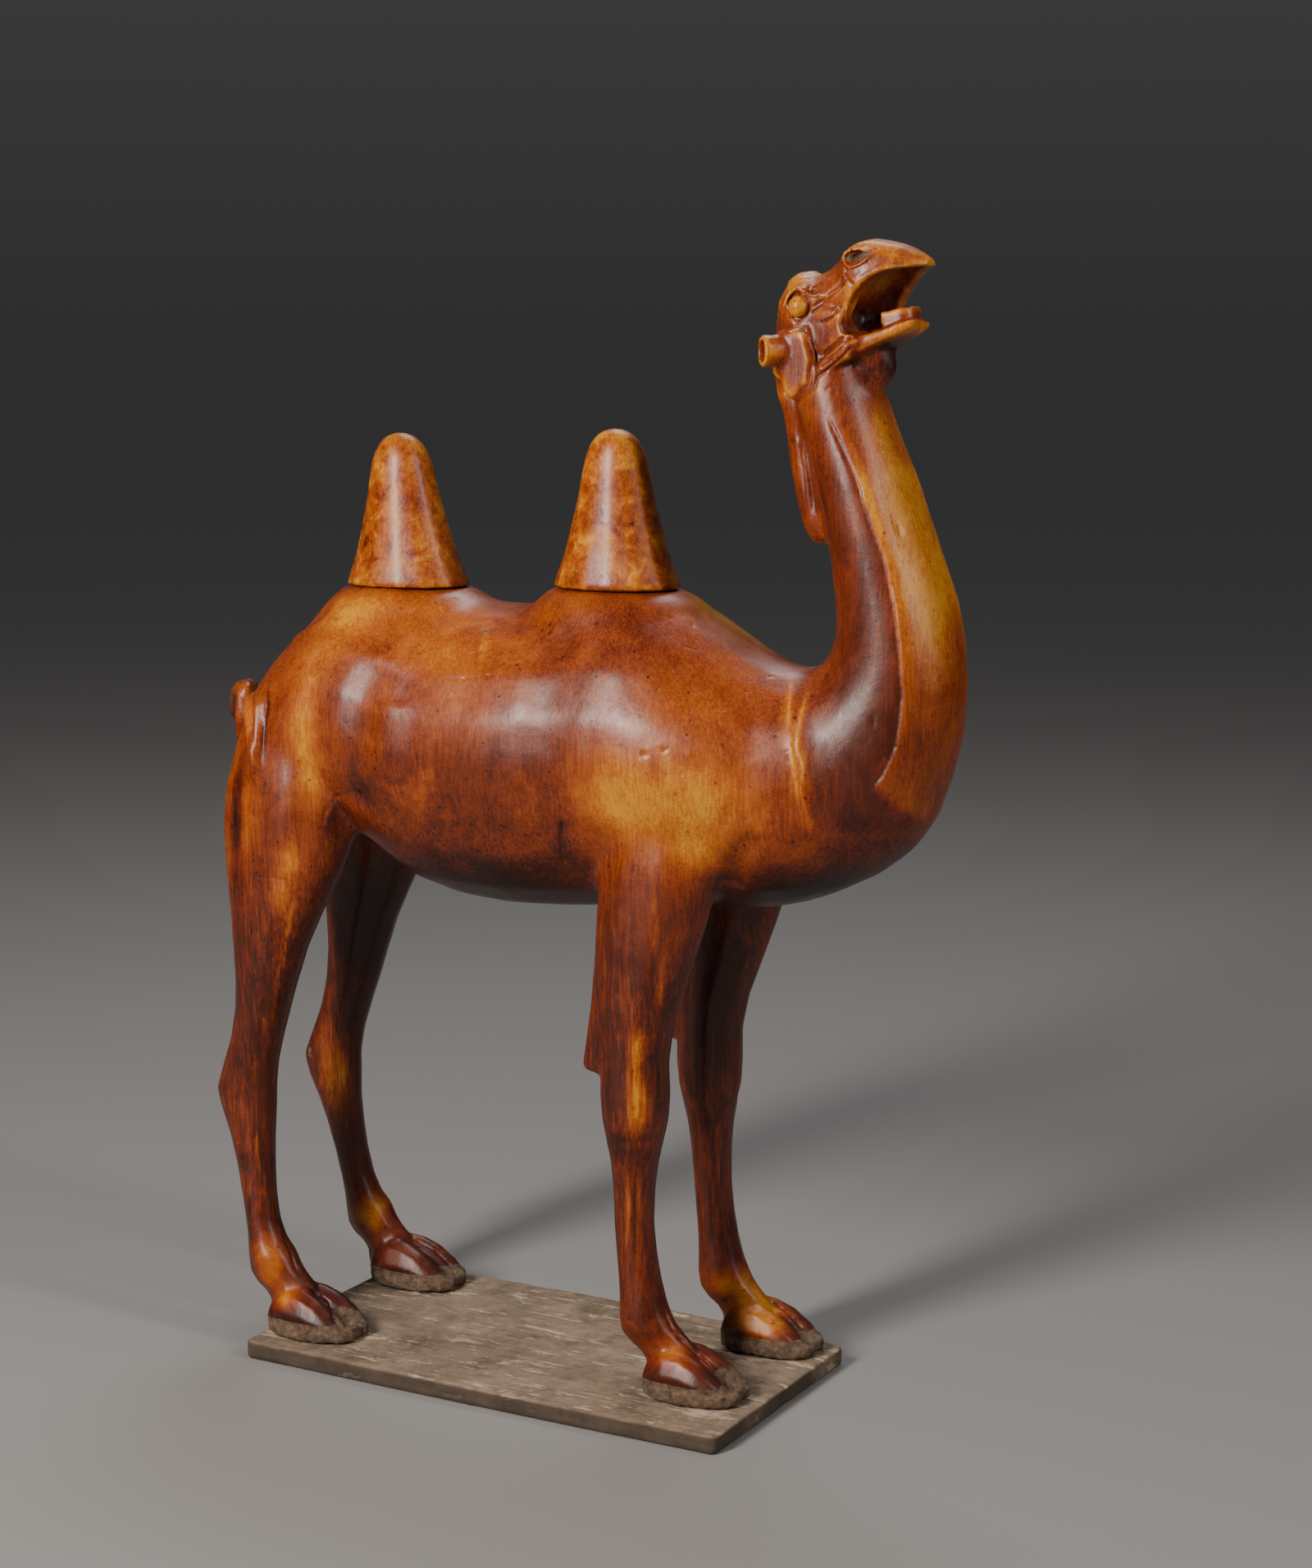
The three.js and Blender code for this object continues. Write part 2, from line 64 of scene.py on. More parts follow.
def sight(x, y):
    """The direction in which the camera sees a pixel of the picture."""
    across = (x - PICTURE_MIDDLE[0]) / FOCAL_PIXELS
    down = (y - PICTURE_MIDDLE[1]) / FOCAL_PIXELS
    return (camera_turn @ Vector((across, -down, -1))).normalized()


# Floor and lights
# A plain pale floor, a tall soft light on the camera's left, a narrow one on its right and a wide one high
# behind the camel, and a weak light from all round that is brightest above.
FLOOR_SIZE = 60.0
FLOOR_COLOUR = (0.27, 0.265, 0.26)
FLOOR_ROUGHNESS = 0.95
FLOOR_SHINE = 0.1
LIGHT_TARGET = Vector((0.04, 0.0, 0.42))
# Each light: its bearing and height in degrees, its distance, width and height in metres, watts and colour
LIGHTS = {
    "window_left": (-14, 26, 2.4, 0.42, 1.2, 80, (1.0, 0.92, 0.84)),
    "strip_right": (84, 30, 2.3, 0.28, 1.5, 20, (1.0, 0.93, 0.88)),
    "top_back": (200, 55, 2.6, 1.2, 0.8, 20, (0.95, 0.97, 1.0)),
}
SKY_LOW = (0.041, 0.040, 0.040, 1)
SKY_HIGH = (0.19, 0.19, 0.195, 1)
SKY_STRENGTH = 0.85


def plain_material(name, colour, roughness, shine):
    """A material of one colour, for what isn't part of the camel."""
    material = bpy.data.materials.new(name)
    material.use_nodes = True
    shader = material.node_tree.nodes["Principled BSDF"]
    shader.inputs["Base Color"].default_value = (*colour, 1)
    shader.inputs["Roughness"].default_value = roughness
    shader.inputs["Specular IOR Level"].default_value = shine
    return material


def soft_light(name, azimuth, height_angle, distance, width, height, power, colour):
    """A soft oval light that looks at the middle of the camel."""
    around = math.radians(azimuth)
    above = math.radians(height_angle)
    way = Vector((math.sin(around) * math.cos(above), -math.cos(around) * math.cos(above),
                  math.sin(above)))
    data = bpy.data.lights.new(name, "AREA")
    data.shape = "ELLIPSE"
    data.size = width
    data.size_y = height
    data.energy = power
    data.color = colour
    lamp = bpy.data.objects.new(name, data)
    lamp.location = LIGHT_TARGET + way * distance
    lamp.rotation_euler = way.to_track_quat("Z", "Y").to_euler()
    bpy.context.collection.objects.link(lamp)


floor_bm = bmesh.new()
bmesh.ops.create_grid(floor_bm, x_segments=1, y_segments=1, size=FLOOR_SIZE / 2)
floor_mesh = bpy.data.meshes.new("floor")
floor_bm.to_mesh(floor_mesh)
floor_bm.free()
floor_mesh.materials.append(plain_material("pale_floor", FLOOR_COLOUR, FLOOR_ROUGHNESS, FLOOR_SHINE))
floor = bpy.data.objects.new("floor", floor_mesh)
bpy.context.collection.objects.link(floor)

for name, settings in LIGHTS.items():
    soft_light(name, *settings)

world = bpy.data.worlds.new("studio")
world.use_nodes = True
sky = world.node_tree
heading = sky.nodes.new("ShaderNodeTexCoord")
upward = sky.nodes.new("ShaderNodeSeparateXYZ")
sky_ramp = sky.nodes.new("ShaderNodeValToRGB")
sky_ramp.color_ramp.elements[0].color = SKY_LOW
sky_ramp.color_ramp.elements[1].color = SKY_HIGH
sky.links.new(heading.outputs["Generated"], upward.inputs[0])
sky.links.new(upward.outputs["Z"], sky_ramp.inputs[0])
sky.links.new(sky_ramp.outputs[0], sky.nodes["Background"].inputs["Color"])
sky.nodes["Background"].inputs["Strength"].default_value = SKY_STRENGTH
bpy.context.scene.world = world

# Camel
# A hollow figure of fired clay, pressed in moulds, joined and then finished by hand: legs, barrel,
# neck and head are one piece. An amber lead glaze covers it down to the soles, which stay bare clay.
BODY_VOXEL = 0.0014
BODY_FACES = 190000
EVEN_ENOUGH = 1e-5
TINY = 1e-30
# How far round a small form its surroundings are kept too, in edges, and how firmly
KEPT_ROUND = 2.0
KEPT_FIRMNESS = 1.3
UPWARDS = np.array([0, 0, 1])
# The share of its length over which each kind of line tapers
LINE_TAPER = 0.15
STEP_TAPER = 0.1
STREAK_TAPER = 0.3
FIELD_TAPER = 0.08
# A line marks only what faces much the same way as it does, which this cosine says
SAME_WAY = 0.1
# How many times its half-width a patch of tone reaches, before it is too faint to see
PATCH_REACH = 2.2
# How much of the dark and the red a golden place takes away
GOLD_CLEARS = 0.7
# How many random values along each side of the block that bumps repeats, and how far hollows looks, in edges
BLOCK = 64
HOLLOW_REACH = 2.5


def clay_copy(node, voxel):
    """A closed mesh of even small faces over a CAD node, for modelling on."""
    merged = bmesh.new()
    merged.from_mesh(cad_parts[node].data)
    bmesh.ops.remove_doubles(merged, verts=merged.verts, dist=1e-6)
    mesh = bpy.data.meshes.new(node + "_clay")
    merged.to_mesh(mesh)
    merged.free()
    rough = bpy.data.objects.new(node + "_clay", mesh)
    bpy.context.collection.objects.link(rough)
    remesh = rough.modifiers.new("even_faces", "REMESH")
    remesh.mode = "VOXEL"
    remesh.voxel_size = voxel
    graph = bpy.context.evaluated_depsgraph_get()
    fine = bpy.data.meshes.new_from_object(rough.evaluated_get(graph), depsgraph=graph)
    bpy.data.objects.remove(rough)
    return fine


def points_of(mesh):
    """The mesh's points as rows of x, y and z."""
    places = np.empty(len(mesh.vertices) * 3)
    mesh.vertices.foreach_get("co", places)
    return places.reshape(-1, 3)


def edges_of(mesh):
    """The two ends of each edge, as rows."""
    ends = np.empty(len(mesh.edges) * 2, dtype=np.int64)
    mesh.edges.foreach_get("vertices", ends)
    return ends.reshape(-1, 2)


def evened(values, ends, reach):
    """Values spread over the surface as heat spreads, by conjugate gradients; reach is in edges."""
    count = len(values)
    first, second = ends[:, 0], ends[:, 1]
    degree = np.bincount(first, minlength=count) + np.bincount(second, minlength=count)

    def spread(x):
        near = np.empty_like(x)
        for axis in range(x.shape[1]):
            column = x[:, axis]
            near[:, axis] = (np.bincount(first, weights=column[second], minlength=count)
                             + np.bincount(second, weights=column[first], minlength=count))
        return x + reach * reach * (degree[:, None] * x - near) / 4

    result = values.copy()
    left = values - spread(result)
    step = left.copy()
    size = (left * left).sum()
    enough = size * EVEN_ENOUGH
    while size > enough:
        pushed = spread(step)
        length = size / max((step * pushed).sum(), TINY)
        result += length * step
        left -= length * pushed
        new_size = (left * left).sum()
        step = left + (new_size / max(size, TINY)) * step
        size = new_size
    return result


def kept_size(values, ends, reach):
    """Values evened twice over, with what the first pass shrank put back."""
    once = evened(evened(values, ends, reach), ends, reach)
    return once + evened(evened(values - once, ends, reach), ends, reach)


def ramp(values, start, end):
    """0 before start, 1 after end, and a smooth rise between."""
    t = np.clip((values - start) / (end - start), 0, 1)
    return t * t * (3 - 2 * t)


def finer(mesh, detail):
    """Splits each face in four where detail is above a half."""
    share = detail(*points_of(mesh).T)
    ends = edges_of(mesh)
    chosen = np.flatnonzero((share[ends] > 0.5).all(1))
    split = bmesh.new()
    split.from_mesh(mesh)
    split.edges.ensure_lookup_table()
    bmesh.ops.subdivide_edges(split, edges=[split.edges[number] for number in chosen], cuts=1,
                              use_grid_fill=True)
    bmesh.ops.triangulate(split, faces=[face for face in split.faces if len(face.verts) > 4])
    split.to_mesh(mesh)
    split.free()


def form(node, voxel, finest, levels, detail=None):
    """A node's clay with its flat faces evened out.

    Each level has a reach, a weight for each place and the farthest that a point may move: small
    forms that a level would rub out keep what the level before gave them. Lengths are in metres.
    """
    mesh = clay_copy(node, voxel)
    start = points_of(mesh)
    ends = edges_of(mesh)
    shape = kept_size(start, ends, finest / voxel)
    for reach, weight, farthest in levels:
        trial = kept_size(start, ends, reach / voxel)
        moved = np.linalg.norm(trial - shape, axis=1)
        rubbed = evened(ramp(moved, farthest / 2, farthest)[:, None], ends, KEPT_ROUND)
        share = weight(*start.T)[:, None] * np.clip(1 - KEPT_FIRMNESS * rubbed, 0, 1)
        shape = trial * share + shape * (1 - share)
    mesh.vertices.foreach_set("co", shape.ravel())
    mesh.update()
    if detail:
        finer(mesh, detail)
    piece = bpy.data.objects.new(node + "_glazed", mesh)
    bpy.context.collection.objects.link(piece)
    bpy.context.view_layer.update()
    return piece


def head_part(x, y, z):
    """1 on the head. Here and below, heights and places are in metres."""
    return ramp(z - 0.65 * np.maximum(x - 0.22, 0), 0.728, 0.748) * ramp(x, 0.17, 0.20)


def foot_part(x, y, z):
    """1 on the feet."""
    return 1 - ramp(z, 0.055, 0.080)


def tail_part(x, y, z):
    """1 on the tail."""
    return (1 - ramp(x, -0.262, -0.245)) * ramp(z, 0.46, 0.49)


def small_parts(x, y, z):
    """1 on the head and the tail."""
    return np.maximum(head_part(x, y, z), tail_part(x, y, z))


def large_parts(x, y, z):
    """1 on all but the head, the tail and the feet."""
    return 1 - np.maximum(small_parts(x, y, z), foot_part(x, y, z))


def trunk_part(x, y, z):
    """1 on the barrel and the neck."""
    return ramp(z, 0.30, 0.38) * large_parts(x, y, z)


def seen(piece, pixels):
    """Where the camera sees these pixels of the picture on a piece: rows of place and normal."""
    found = []
    for x, y in pixels:
        hit, place, normal, _ = piece.ray_cast(CAMERA_PLACE, sight(x, y))
        if hit:
            found.append([*place, *normal])
    return np.array(found)


def curve_through(rows, spacing):
    """More rows along a smooth line through the given ones."""
    padded = np.vstack([2 * rows[0] - rows[1], rows, 2 * rows[-1] - rows[-2]])
    line = []
    for a, b, c, d in zip(padded, padded[1:], padded[2:], padded[3:]):
        steps = max(1, int(np.linalg.norm((c - b)[:3]) / spacing))
        for t in np.arange(steps) / steps:
            line.append(0.5 * (2 * b + (c - a) * t + (2 * a - 5 * b + 4 * c - d) * t * t
                               + (3 * b - a - 3 * c + d) * t ** 3))
    return np.array(line + [rows[-1]])


def tapered(along, share):
    """1 on a line, which falls to 0 at each end over a share of its length."""
    return ramp(along, 0, share) * ramp(1 - along, 0, share)


class ClaySurface:
    """A piece's points and normals, how far each point is worked in or out, and its four tones."""

    def __init__(self, piece):
        self.piece = piece
        self.points = points_of(piece.data)
        normals = np.empty(len(self.points) * 3)
        piece.data.vertices.foreach_get("normal", normals)
        self.normals = normals.reshape(-1, 3)
        self.lift = np.zeros(len(self.points))
        self.tones = np.zeros((len(self.points), 4))

    def round_line(self, rows, reach):
        """Points within reach of a line: their numbers, distances, sides and shares of its length."""
        line = curve_through(rows, reach) if len(rows) > 2 else rows
        low = line[:, :3].min(0) - reach
        high = line[:, :3].max(0) + reach
        near = np.flatnonzero(((self.points > low) & (self.points < high)).all(1))
        points = self.points[near]
        away = np.full(len(near), np.inf)
        side = np.zeros(len(near))
        along = np.zeros(len(near))
        for number, (a, b) in enumerate(zip(line, line[1:])):
            span = b[:3] - a[:3]
            t = np.clip((points - a[:3]) @ span / (span @ span + 1e-12), 0, 1)
            gap = points - a[:3] - t[:, None] * span
            distance = np.linalg.norm(gap, axis=1)
            distance[self.normals[near] @ a[3:] < SAME_WAY] = np.inf
            closer = distance < away
            away[closer] = distance[closer]
            side[closer] = np.sign(gap[closer] @ np.cross(a[3:], span))
            along[closer] = (number + t[closer]) / (len(line) - 1)
        kept = away < reach
        return near[kept], away[kept], side[kept], along[kept]

    def line(self, rows, width, height):
        """A round-bottomed groove, or a ridge where the height is above zero."""
        if len(rows) < 2:
            return
        near, away, _, along = self.round_line(rows, width)
        self.lift[near] += height * (1 - (away / width) ** 2) ** 2 * tapered(along, LINE_TAPER)

    def step(self, rows, width, height, fade):
        """An edge raised ahead of the line, which falls back to the surface over fade."""
        near, away, side, along = self.round_line(rows, fade)
        raised = ramp(away * side, -width / 2, width / 2) * (1 - ramp(away, width, fade))
        self.lift[near] += height * raised * tapered(along, STEP_TAPER)

    def dab(self, row, across, along, height, fullness=1.5):
        """A round or oval swelling, or a hollow where the height is below zero."""
        place, normal = row[:3], row[3:]
        near = np.flatnonzero((np.abs(self.points - place) < max(across, along)).all(1))
        near = near[self.normals[near] @ normal > 0]
        lengthwise = UPWARDS - normal * (normal @ UPWARDS)
        lengthwise /= np.linalg.norm(lengthwise)
        gap = self.points[near] - place
        u = gap @ lengthwise / along
        v = gap @ np.cross(normal, lengthwise) / across
        self.lift[near] += height * np.clip(1 - u * u - v * v, 0, 1) ** fullness

    def finish_form(self):
        """Moves the points along their normals by what has been worked."""
        moved = self.points + self.normals * self.lift[:, None]
        self.piece.data.vertices.foreach_set("co", moved.ravel())
        self.piece.data.update()

    def patch(self, tone, row, wide, tall, strength):
        """A soft patch of a tone."""
        reach = PATCH_REACH * max(wide, tall)
        near = np.flatnonzero((np.abs(self.points - row[:3]) < reach).all(1))
        near = near[self.normals[near] @ row[3:] > -0.1]
        x, y, z = (self.points[near] - row[:3]).T
        self.tones[near, tone] += strength * np.exp(-(x * x + y * y) / wide ** 2 - (z / tall) ** 2)

    def streak(self, tone, rows, width, strength):
        """A brushed streak of a tone along a line."""
        if len(rows) < 2:
            return
        near, away, _, along = self.round_line(rows, 2 * width)
        self.tones[near, tone] += strength * np.exp(-(away / width) ** 2) * tapered(along, STREAK_TAPER)

    def fields(self, rows, reach, ahead, behind):
        """A tone on either side of a line, strongest beside it and gone at the reach."""
        near, away, side, along = self.round_line(rows, reach)
        share = (1 - ramp(away, reach * 0.35, reach)) * tapered(along, FIELD_TAPER)
        for way, (tone, strength) in ((1, ahead), (-1, behind)):
            chosen = side == way
            self.tones[near[chosen], tone] += strength * share[chosen]

    def finish_tones(self):
        """Keeps how golden, dark, red or bare of glaze each point is, for the material."""
        self.tones[:, DARK:BARE] *= 1 - GOLD_CLEARS * np.clip(self.tones[:, :1], 0, 1)
        kept = self.piece.data.color_attributes.new("tone", "FLOAT_COLOR", "POINT")
        kept.data.foreach_set("color", np.clip(self.tones, 0, 1).ravel())


def decimated(piece, faces):
    """Fewer faces where the surface is plain, with smooth shading."""
    ratio = faces / (2 * len(piece.data.polygons))
    if ratio < 1:
        fewer = piece.modifiers.new("fewer_faces", "DECIMATE")
        fewer.ratio = ratio
        graph = bpy.context.evaluated_depsgraph_get()
        mesh = bpy.data.meshes.new_from_object(piece.evaluated_get(graph), depsgraph=graph)
        piece.modifiers.clear()
        piece.data = mesh
    piece.data.polygons.foreach_set("use_smooth", [True] * len(piece.data.polygons))
    piece.data.update()


def bumps(points, size, seed):
    """Soft random bumps between -1 and 1, one about every size metres."""
    chance = np.random.default_rng(seed)
    lattice = chance.uniform(-1, 1, (BLOCK, BLOCK, BLOCK))
    slant = np.linalg.qr(chance.normal(size=(3, 3)))[0]
    place = points @ slant / size
    cell = np.floor(place).astype(int)
    within = ramp(place - cell, 0, 1)
    heights = np.zeros(len(points))
    for corner in np.ndindex(2, 2, 2):
        share = np.prod(np.where(corner, within, 1 - within), axis=1)
        heights += share * lattice[tuple(((cell + corner) % BLOCK).T)]
    return heights


def hollows(piece):
    """How hollow (above zero) or proud (below zero) the surface is at each point, in metres."""
    points = points_of(piece.data)
    ends = edges_of(piece.data)
    normals = np.empty(len(points) * 3)
    piece.data.vertices.foreach_get("normal", normals)
    away = evened(points, ends, HOLLOW_REACH) - points
    return (away * normals.reshape(-1, 3)).sum(1)


def part(tree, kind, sockets, **settings):
    """Adds a shader node. Each socket gets a number, a colour or another node's output."""
    made = tree.nodes.new("ShaderNode" + kind)
    for name, value in settings.items():
        setattr(made, name, value)
    for key, value in sockets.items():
        if isinstance(value, bpy.types.NodeSocket):
            tree.links.new(value, made.inputs[key])
        else:
            made.inputs[key].default_value = value
    return made.outputs[0]


def blended(tree, share, low, high):
    """A mix of two colours."""
    mix = tree.nodes.new("ShaderNodeMix")
    mix.data_type = "RGBA"
    for socket, value in ((mix.inputs[0], share), (mix.inputs[6], low), (mix.inputs[7], high)):
        if isinstance(value, bpy.types.NodeSocket):
            tree.links.new(value, socket)
        else:
            socket.default_value = value
    return mix.outputs[2]


def noise(tree, places, scale, detail, roughness, distortion=0.0):
    """Cloudy random values round a half."""
    return part(tree, "TexNoise", {"Vector": places, "Scale": scale, "Detail": detail,
                                   "Roughness": roughness, "Distortion": distortion})


def drawn_out(tree, places, scale, shift=0.0):
    """Places for a pattern that is drawn out along each axis whose scale is small."""
    return part(tree, "Mapping", {"Vector": places, "Location": (shift, 0, 0), "Scale": scale})


def rise(tree, value, start, end, low=0.0, high=1.0):
    """low before start, high after end, and a straight rise between."""
    return part(tree, "MapRange", {"Value": value, "From Min": start, "From Max": end,
                                   "To Min": low, "To Max": high})


def product(tree, first, second):
    """One value times another."""
    return part(tree, "Math", {0: first, 1: second}, operation="MULTIPLY")


def total(tree, *terms, start=0.0):
    """The sum of start and of each value times its factor."""
    for value, factor in terms:
        start = part(tree, "Math", {0: value, 1: factor, 2: start}, operation="MULTIPLY_ADD")
    return start


def toned_material(name):
    """A new material, its tree and shader, the places on the piece and the four tones laid on it."""
    material = bpy.data.materials.new(name)
    material.use_nodes = True
    tree = material.node_tree
    places = part(tree, "TexCoord", {}).node.outputs["Object"]
    laid = tree.nodes.new("ShaderNodeAttribute")
    laid.attribute_name = "tone"
    split = part(tree, "SeparateColor", {"Color": laid.outputs["Color"]}).node
    return material, tree, tree.nodes["Principled BSDF"], places, (*split.outputs[:3], laid.outputs["Alpha"])


def fine_relief(tree, shader, height, strength, depth):
    """Grain and ripples that are too fine for the mesh."""
    bump = part(tree, "Bump", {"Height": height, "Strength": strength, "Distance": depth})
    tree.links.new(bump, shader.inputs["Normal"])


# The glaze's colours, from its thickest at 0 to its thinnest at 1
GLAZE_STOPS = (
    (0.00, (0.006, 0.0018, 0.0010)), (0.15, (0.026, 0.0036, 0.0012)),
    (0.30, (0.082, 0.0095, 0.0014)), (0.45, (0.170, 0.0225, 0.0017)),
    (0.60, (0.265, 0.0470, 0.0022)), (0.78, (0.375, 0.0920, 0.0030)),
    (0.93, (0.490, 0.1650, 0.0060)), (1.00, (0.56, 0.235, 0.011)),
)
RED_GLAZE = (0.130, 0.0195, 0.0045, 1)
SOLE_DARK = (0.046, 0.026, 0.016, 1)
SOLE_PALE = (0.205, 0.132, 0.082, 1)
GLAZE_IOR = 1.48
BARE_ROUGHNESS = 0.92
BODY_GLAZE = {"streak_height": 0.07, "shift": 0.0, "streakiness": 0.55, "mottling": 0.50, "mottle_scale": 34}
FOOT_MOTTLING = 1.1


def glaze_material(name, streak_height, shift, streakiness, mottling, mottle_scale):
    """Amber lead glaze: brushed upright streaks, golden where thin, red-brown to black where thick."""
    material, tree, shader, places, (golden, dark, red, bare) = toned_material(name)
    upright = drawn_out(tree, places, (1, 1, streak_height), shift)
    broad = noise(tree, upright, 95, 5, 0.6)
    brushed = noise(tree, upright, 480, 5, 0.65)
    mottle = noise(tree, places, mottle_scale, 10, 0.72, 0.4)
    cloudy = noise(tree, places, 6, 3, 0.5)
    grain = noise(tree, places, 700, 4, 0.7)

    # Down the legs the streaks grow stronger, and on the feet they give way to mottling
    height_up = part(tree, "SeparateXYZ", {"Vector": places}).node.outputs["Z"]
    streaky = rise(tree, height_up, 0.42, 0.30, streakiness, 2 * streakiness)
    streaky = product(tree, streaky, rise(tree, height_up, 0.07, 0.11))
    streaks = product(tree, total(tree, (broad, 0.35), (brushed, 0.95), start=-0.65), streaky)
    mottled = rise(tree, height_up, 0.11, 0.07, mottling, FOOT_MOTTLING)
    mottled = product(tree, total(tree, (mottle, 1.0), start=-0.5), mottled)

    # Dark specks: a few round dots, and fine flecks where the mottling is dark
    cells = part(tree, "TexVoronoi", {"Vector": places, "Scale": 135}).node
    dots = rise(tree, cells.outputs["Distance"], 0.20, 0.08)
    chosen = rise(tree, part(tree, "SeparateColor", {"Color": cells.outputs["Color"]}), 0.86, 0.90)
    flecks = rise(tree, noise(tree, places, 130, 7, 0.75), 0.585, 0.66)
    fleck_field = rise(tree, mottle, 0.56, 0.42)
    speckled = total(tree, (product(tree, flecks, fleck_field), 0.30), (product(tree, dots, chosen), 0.30))

    # The dark tone, which holds painted shade as well as thick glaze, makes the glaze darker
    thin = total(tree, (streaks, 1.0), (mottled, 1.0), (cloudy, 0.40), (grain, 0.45),
                 (golden, 0.40), (dark, -0.45), (red, -0.13), (speckled, -1.0))
    glaze_ramp = tree.nodes.new("ShaderNodeValToRGB")
    tree.links.new(rise(tree, thin, 0.015, 0.85), glaze_ramp.inputs[0])
    colours = glaze_ramp.color_ramp
    while len(colours.elements) < len(GLAZE_STOPS):
        colours.elements.new(0.5)
    for element, (place, colour) in zip(colours.elements, GLAZE_STOPS):
        element.position = place
        element.color = (*colour, 1)
    reddened = blended(tree, product(tree, red, 0.35), glaze_ramp.outputs[0], RED_GLAZE)

    # The bare clay of the soles and the chips, with a ragged edge
    clay_noise = noise(tree, places, 190, 8, 0.7)
    clay = blended(tree, rise(tree, clay_noise, 0.35, 0.68), SOLE_DARK, SOLE_PALE)
    ragged = total(tree, (bare, 2.0), (clay_noise, 0.9), (mottle, 0.9))
    bare_share = rise(tree, ragged, 1.60, 1.76)
    tree.links.new(blended(tree, bare_share, reddened, clay), shader.inputs["Base Color"])

    gloss = rise(tree, mottle, 0.3, 0.7, 0.30, 0.46)
    tree.links.new(rise(tree, bare_share, 0, 1, gloss, BARE_ROUGHNESS), shader.inputs["Roughness"])
    shader.inputs["IOR"].default_value = GLAZE_IOR
    ripple = noise(tree, places, 85, 4, 0.6)
    glazed_height = total(tree, (ripple, 0.40), (brushed, 0.07), (grain, 0.05), (speckled, -0.18))
    height = rise(tree, bare_share, 0, 1, glazed_height, product(tree, clay_noise, 1.6))
    fine_relief(tree, shader, height, 0.55, 0.0014)
    return material


# The four tones laid on a surface, and the upright planes through the body and through the head, each as
# a point and a bearing. One pixel of the picture is about PIXEL metres wide at the camel.
# The dark tone holds both darker glaze and painted shade
GOLDEN, DARK, RED, BARE = range(4)
BODY_TURN = math.radians(2.2)
BODY_MIDDLE = (0.0, 0.012)
HEAD_MIDDLE = (0.2148, 0.0203)
HEAD_AXIS = math.radians(-3.8)
PIXEL = 1 / 1640


def other_side(piece, rows, middle=BODY_MIDDLE, axis=BODY_TURN):
    """The same marks on the camel's other side, which the camera doesn't see."""
    across = np.array([-math.sin(axis), math.cos(axis), 0])
    found = []
    for row in rows:
        gap = (row[:3] - np.array([*middle, 0])) @ across
        _, place, normal, _ = piece.closest_point_on_mesh(Vector(row[:3] - 2 * gap * across))
        found.append([*place, *normal])
    return np.array(found)


def both(piece, pixels, head=False):
    """The marks where the camera sees them, and their like on the other side."""
    rows = seen(piece, pixels)
    if not len(rows):
        return []
    if head:
        return [rows, other_side(piece, rows, HEAD_MIDDLE, HEAD_AXIS)]
    return [rows, other_side(piece, rows)]


camel = form("camel", BODY_VOXEL, finest=0.0013, levels=(
    (0.0026, small_parts, 0.0012),
    (0.0030, foot_part, 0.0020),
    (0.0055, large_parts, 0.0030),
    (0.0105, trunk_part, 0.0040),
), detail=head_part)

# Each groove or ridge of the head: half its width and its height in millimetres, and its line in pixels
HEAD_LINES = (
    (1.6, 1.1, ((954, 384), (957, 372), (961, 361), (969, 353), (977, 350))),
    (1.5, -1.0, ((961, 380), (965, 388), (971, 394), (978, 390), (985, 382), (988, 373), (988, 363))),
    (1.6, -1.0, ((974, 356), (965, 362), (962, 372), (966, 383), (974, 387), (982, 382), (986, 372),
                 (983, 361), (974, 356))),
    (1.3, 0.9, ((981, 355), (986, 359), (991, 361), (997, 360), (1002, 356))),
    (1.8, -1.6, ((987, 384), (1000, 375), (1014, 361), (1025, 350), (1032, 343))),
    (1.6, -1.4, ((1000, 394), (1011, 389), (1021, 380), (1025, 371))),
    (1.3, -1.0, ((989, 375), (1002, 368), (1014, 355), (1023, 346), (1028, 338))),
    (1.2, -0.8, ((1000, 346), (1014, 339), (1025, 330))),
    (1.2, -0.8, ((1007, 359), (1021, 351), (1035, 338))),
    (1.5, -1.3, ((1031, 324), (1031, 331), (1034, 338), (1041, 347))),
    (1.7, 1.3, ((1070, 306), (1062, 311), (1054, 319), (1045, 324), (1037, 326), (1031, 321),
                (1029, 313), (1032, 308), (1041, 304), (1052, 303))),
    (3.2, -1.6, ((1037, 318), (1045, 314), (1056, 310), (1064, 307))),
    (1.0, -0.7, ((962, 346), (980, 334), (1000, 332))),
    (1.0, -0.6, ((958, 354), (975, 341), (992, 338))),
    (1.0, -0.6, ((968, 338), (985, 330), (1002, 329))),
    (1.0, -0.5, ((1045, 340), (1060, 330), (1078, 319))),
    (1.4, -1.2, ((959, 406), (971, 402), (979, 401), (985, 408))),
    (2.0, 0.6, ((984, 410), (990, 424), (993, 436), (993, 450), (992, 464), (987, 472))),
    (1.8, -0.9, ((987, 408), (994, 423), (997, 436), (997, 450), (996, 464), (990, 476), (975, 492))),
    (1.8, -1.2, ((997, 439), (1007, 429), (1018, 418), (1028, 411), (1032, 410))),
    (1.6, 1.0, ((1007, 437), (1021, 426), (1032, 416))),
    (1.8, -1.1, ((993, 463), (1007, 453), (1021, 441), (1032, 430), (1041, 420))),
    (1.2, -0.8, ((1000, 449), (1008, 443), (1015, 438))),
    (1.4, 1.0, ((1033, 372), (1031, 383), (1031, 392), (1034, 400))),
    (2.2, -0.5, ((1005, 477), (1014, 470), (1019, 477), (1014, 486))),
)
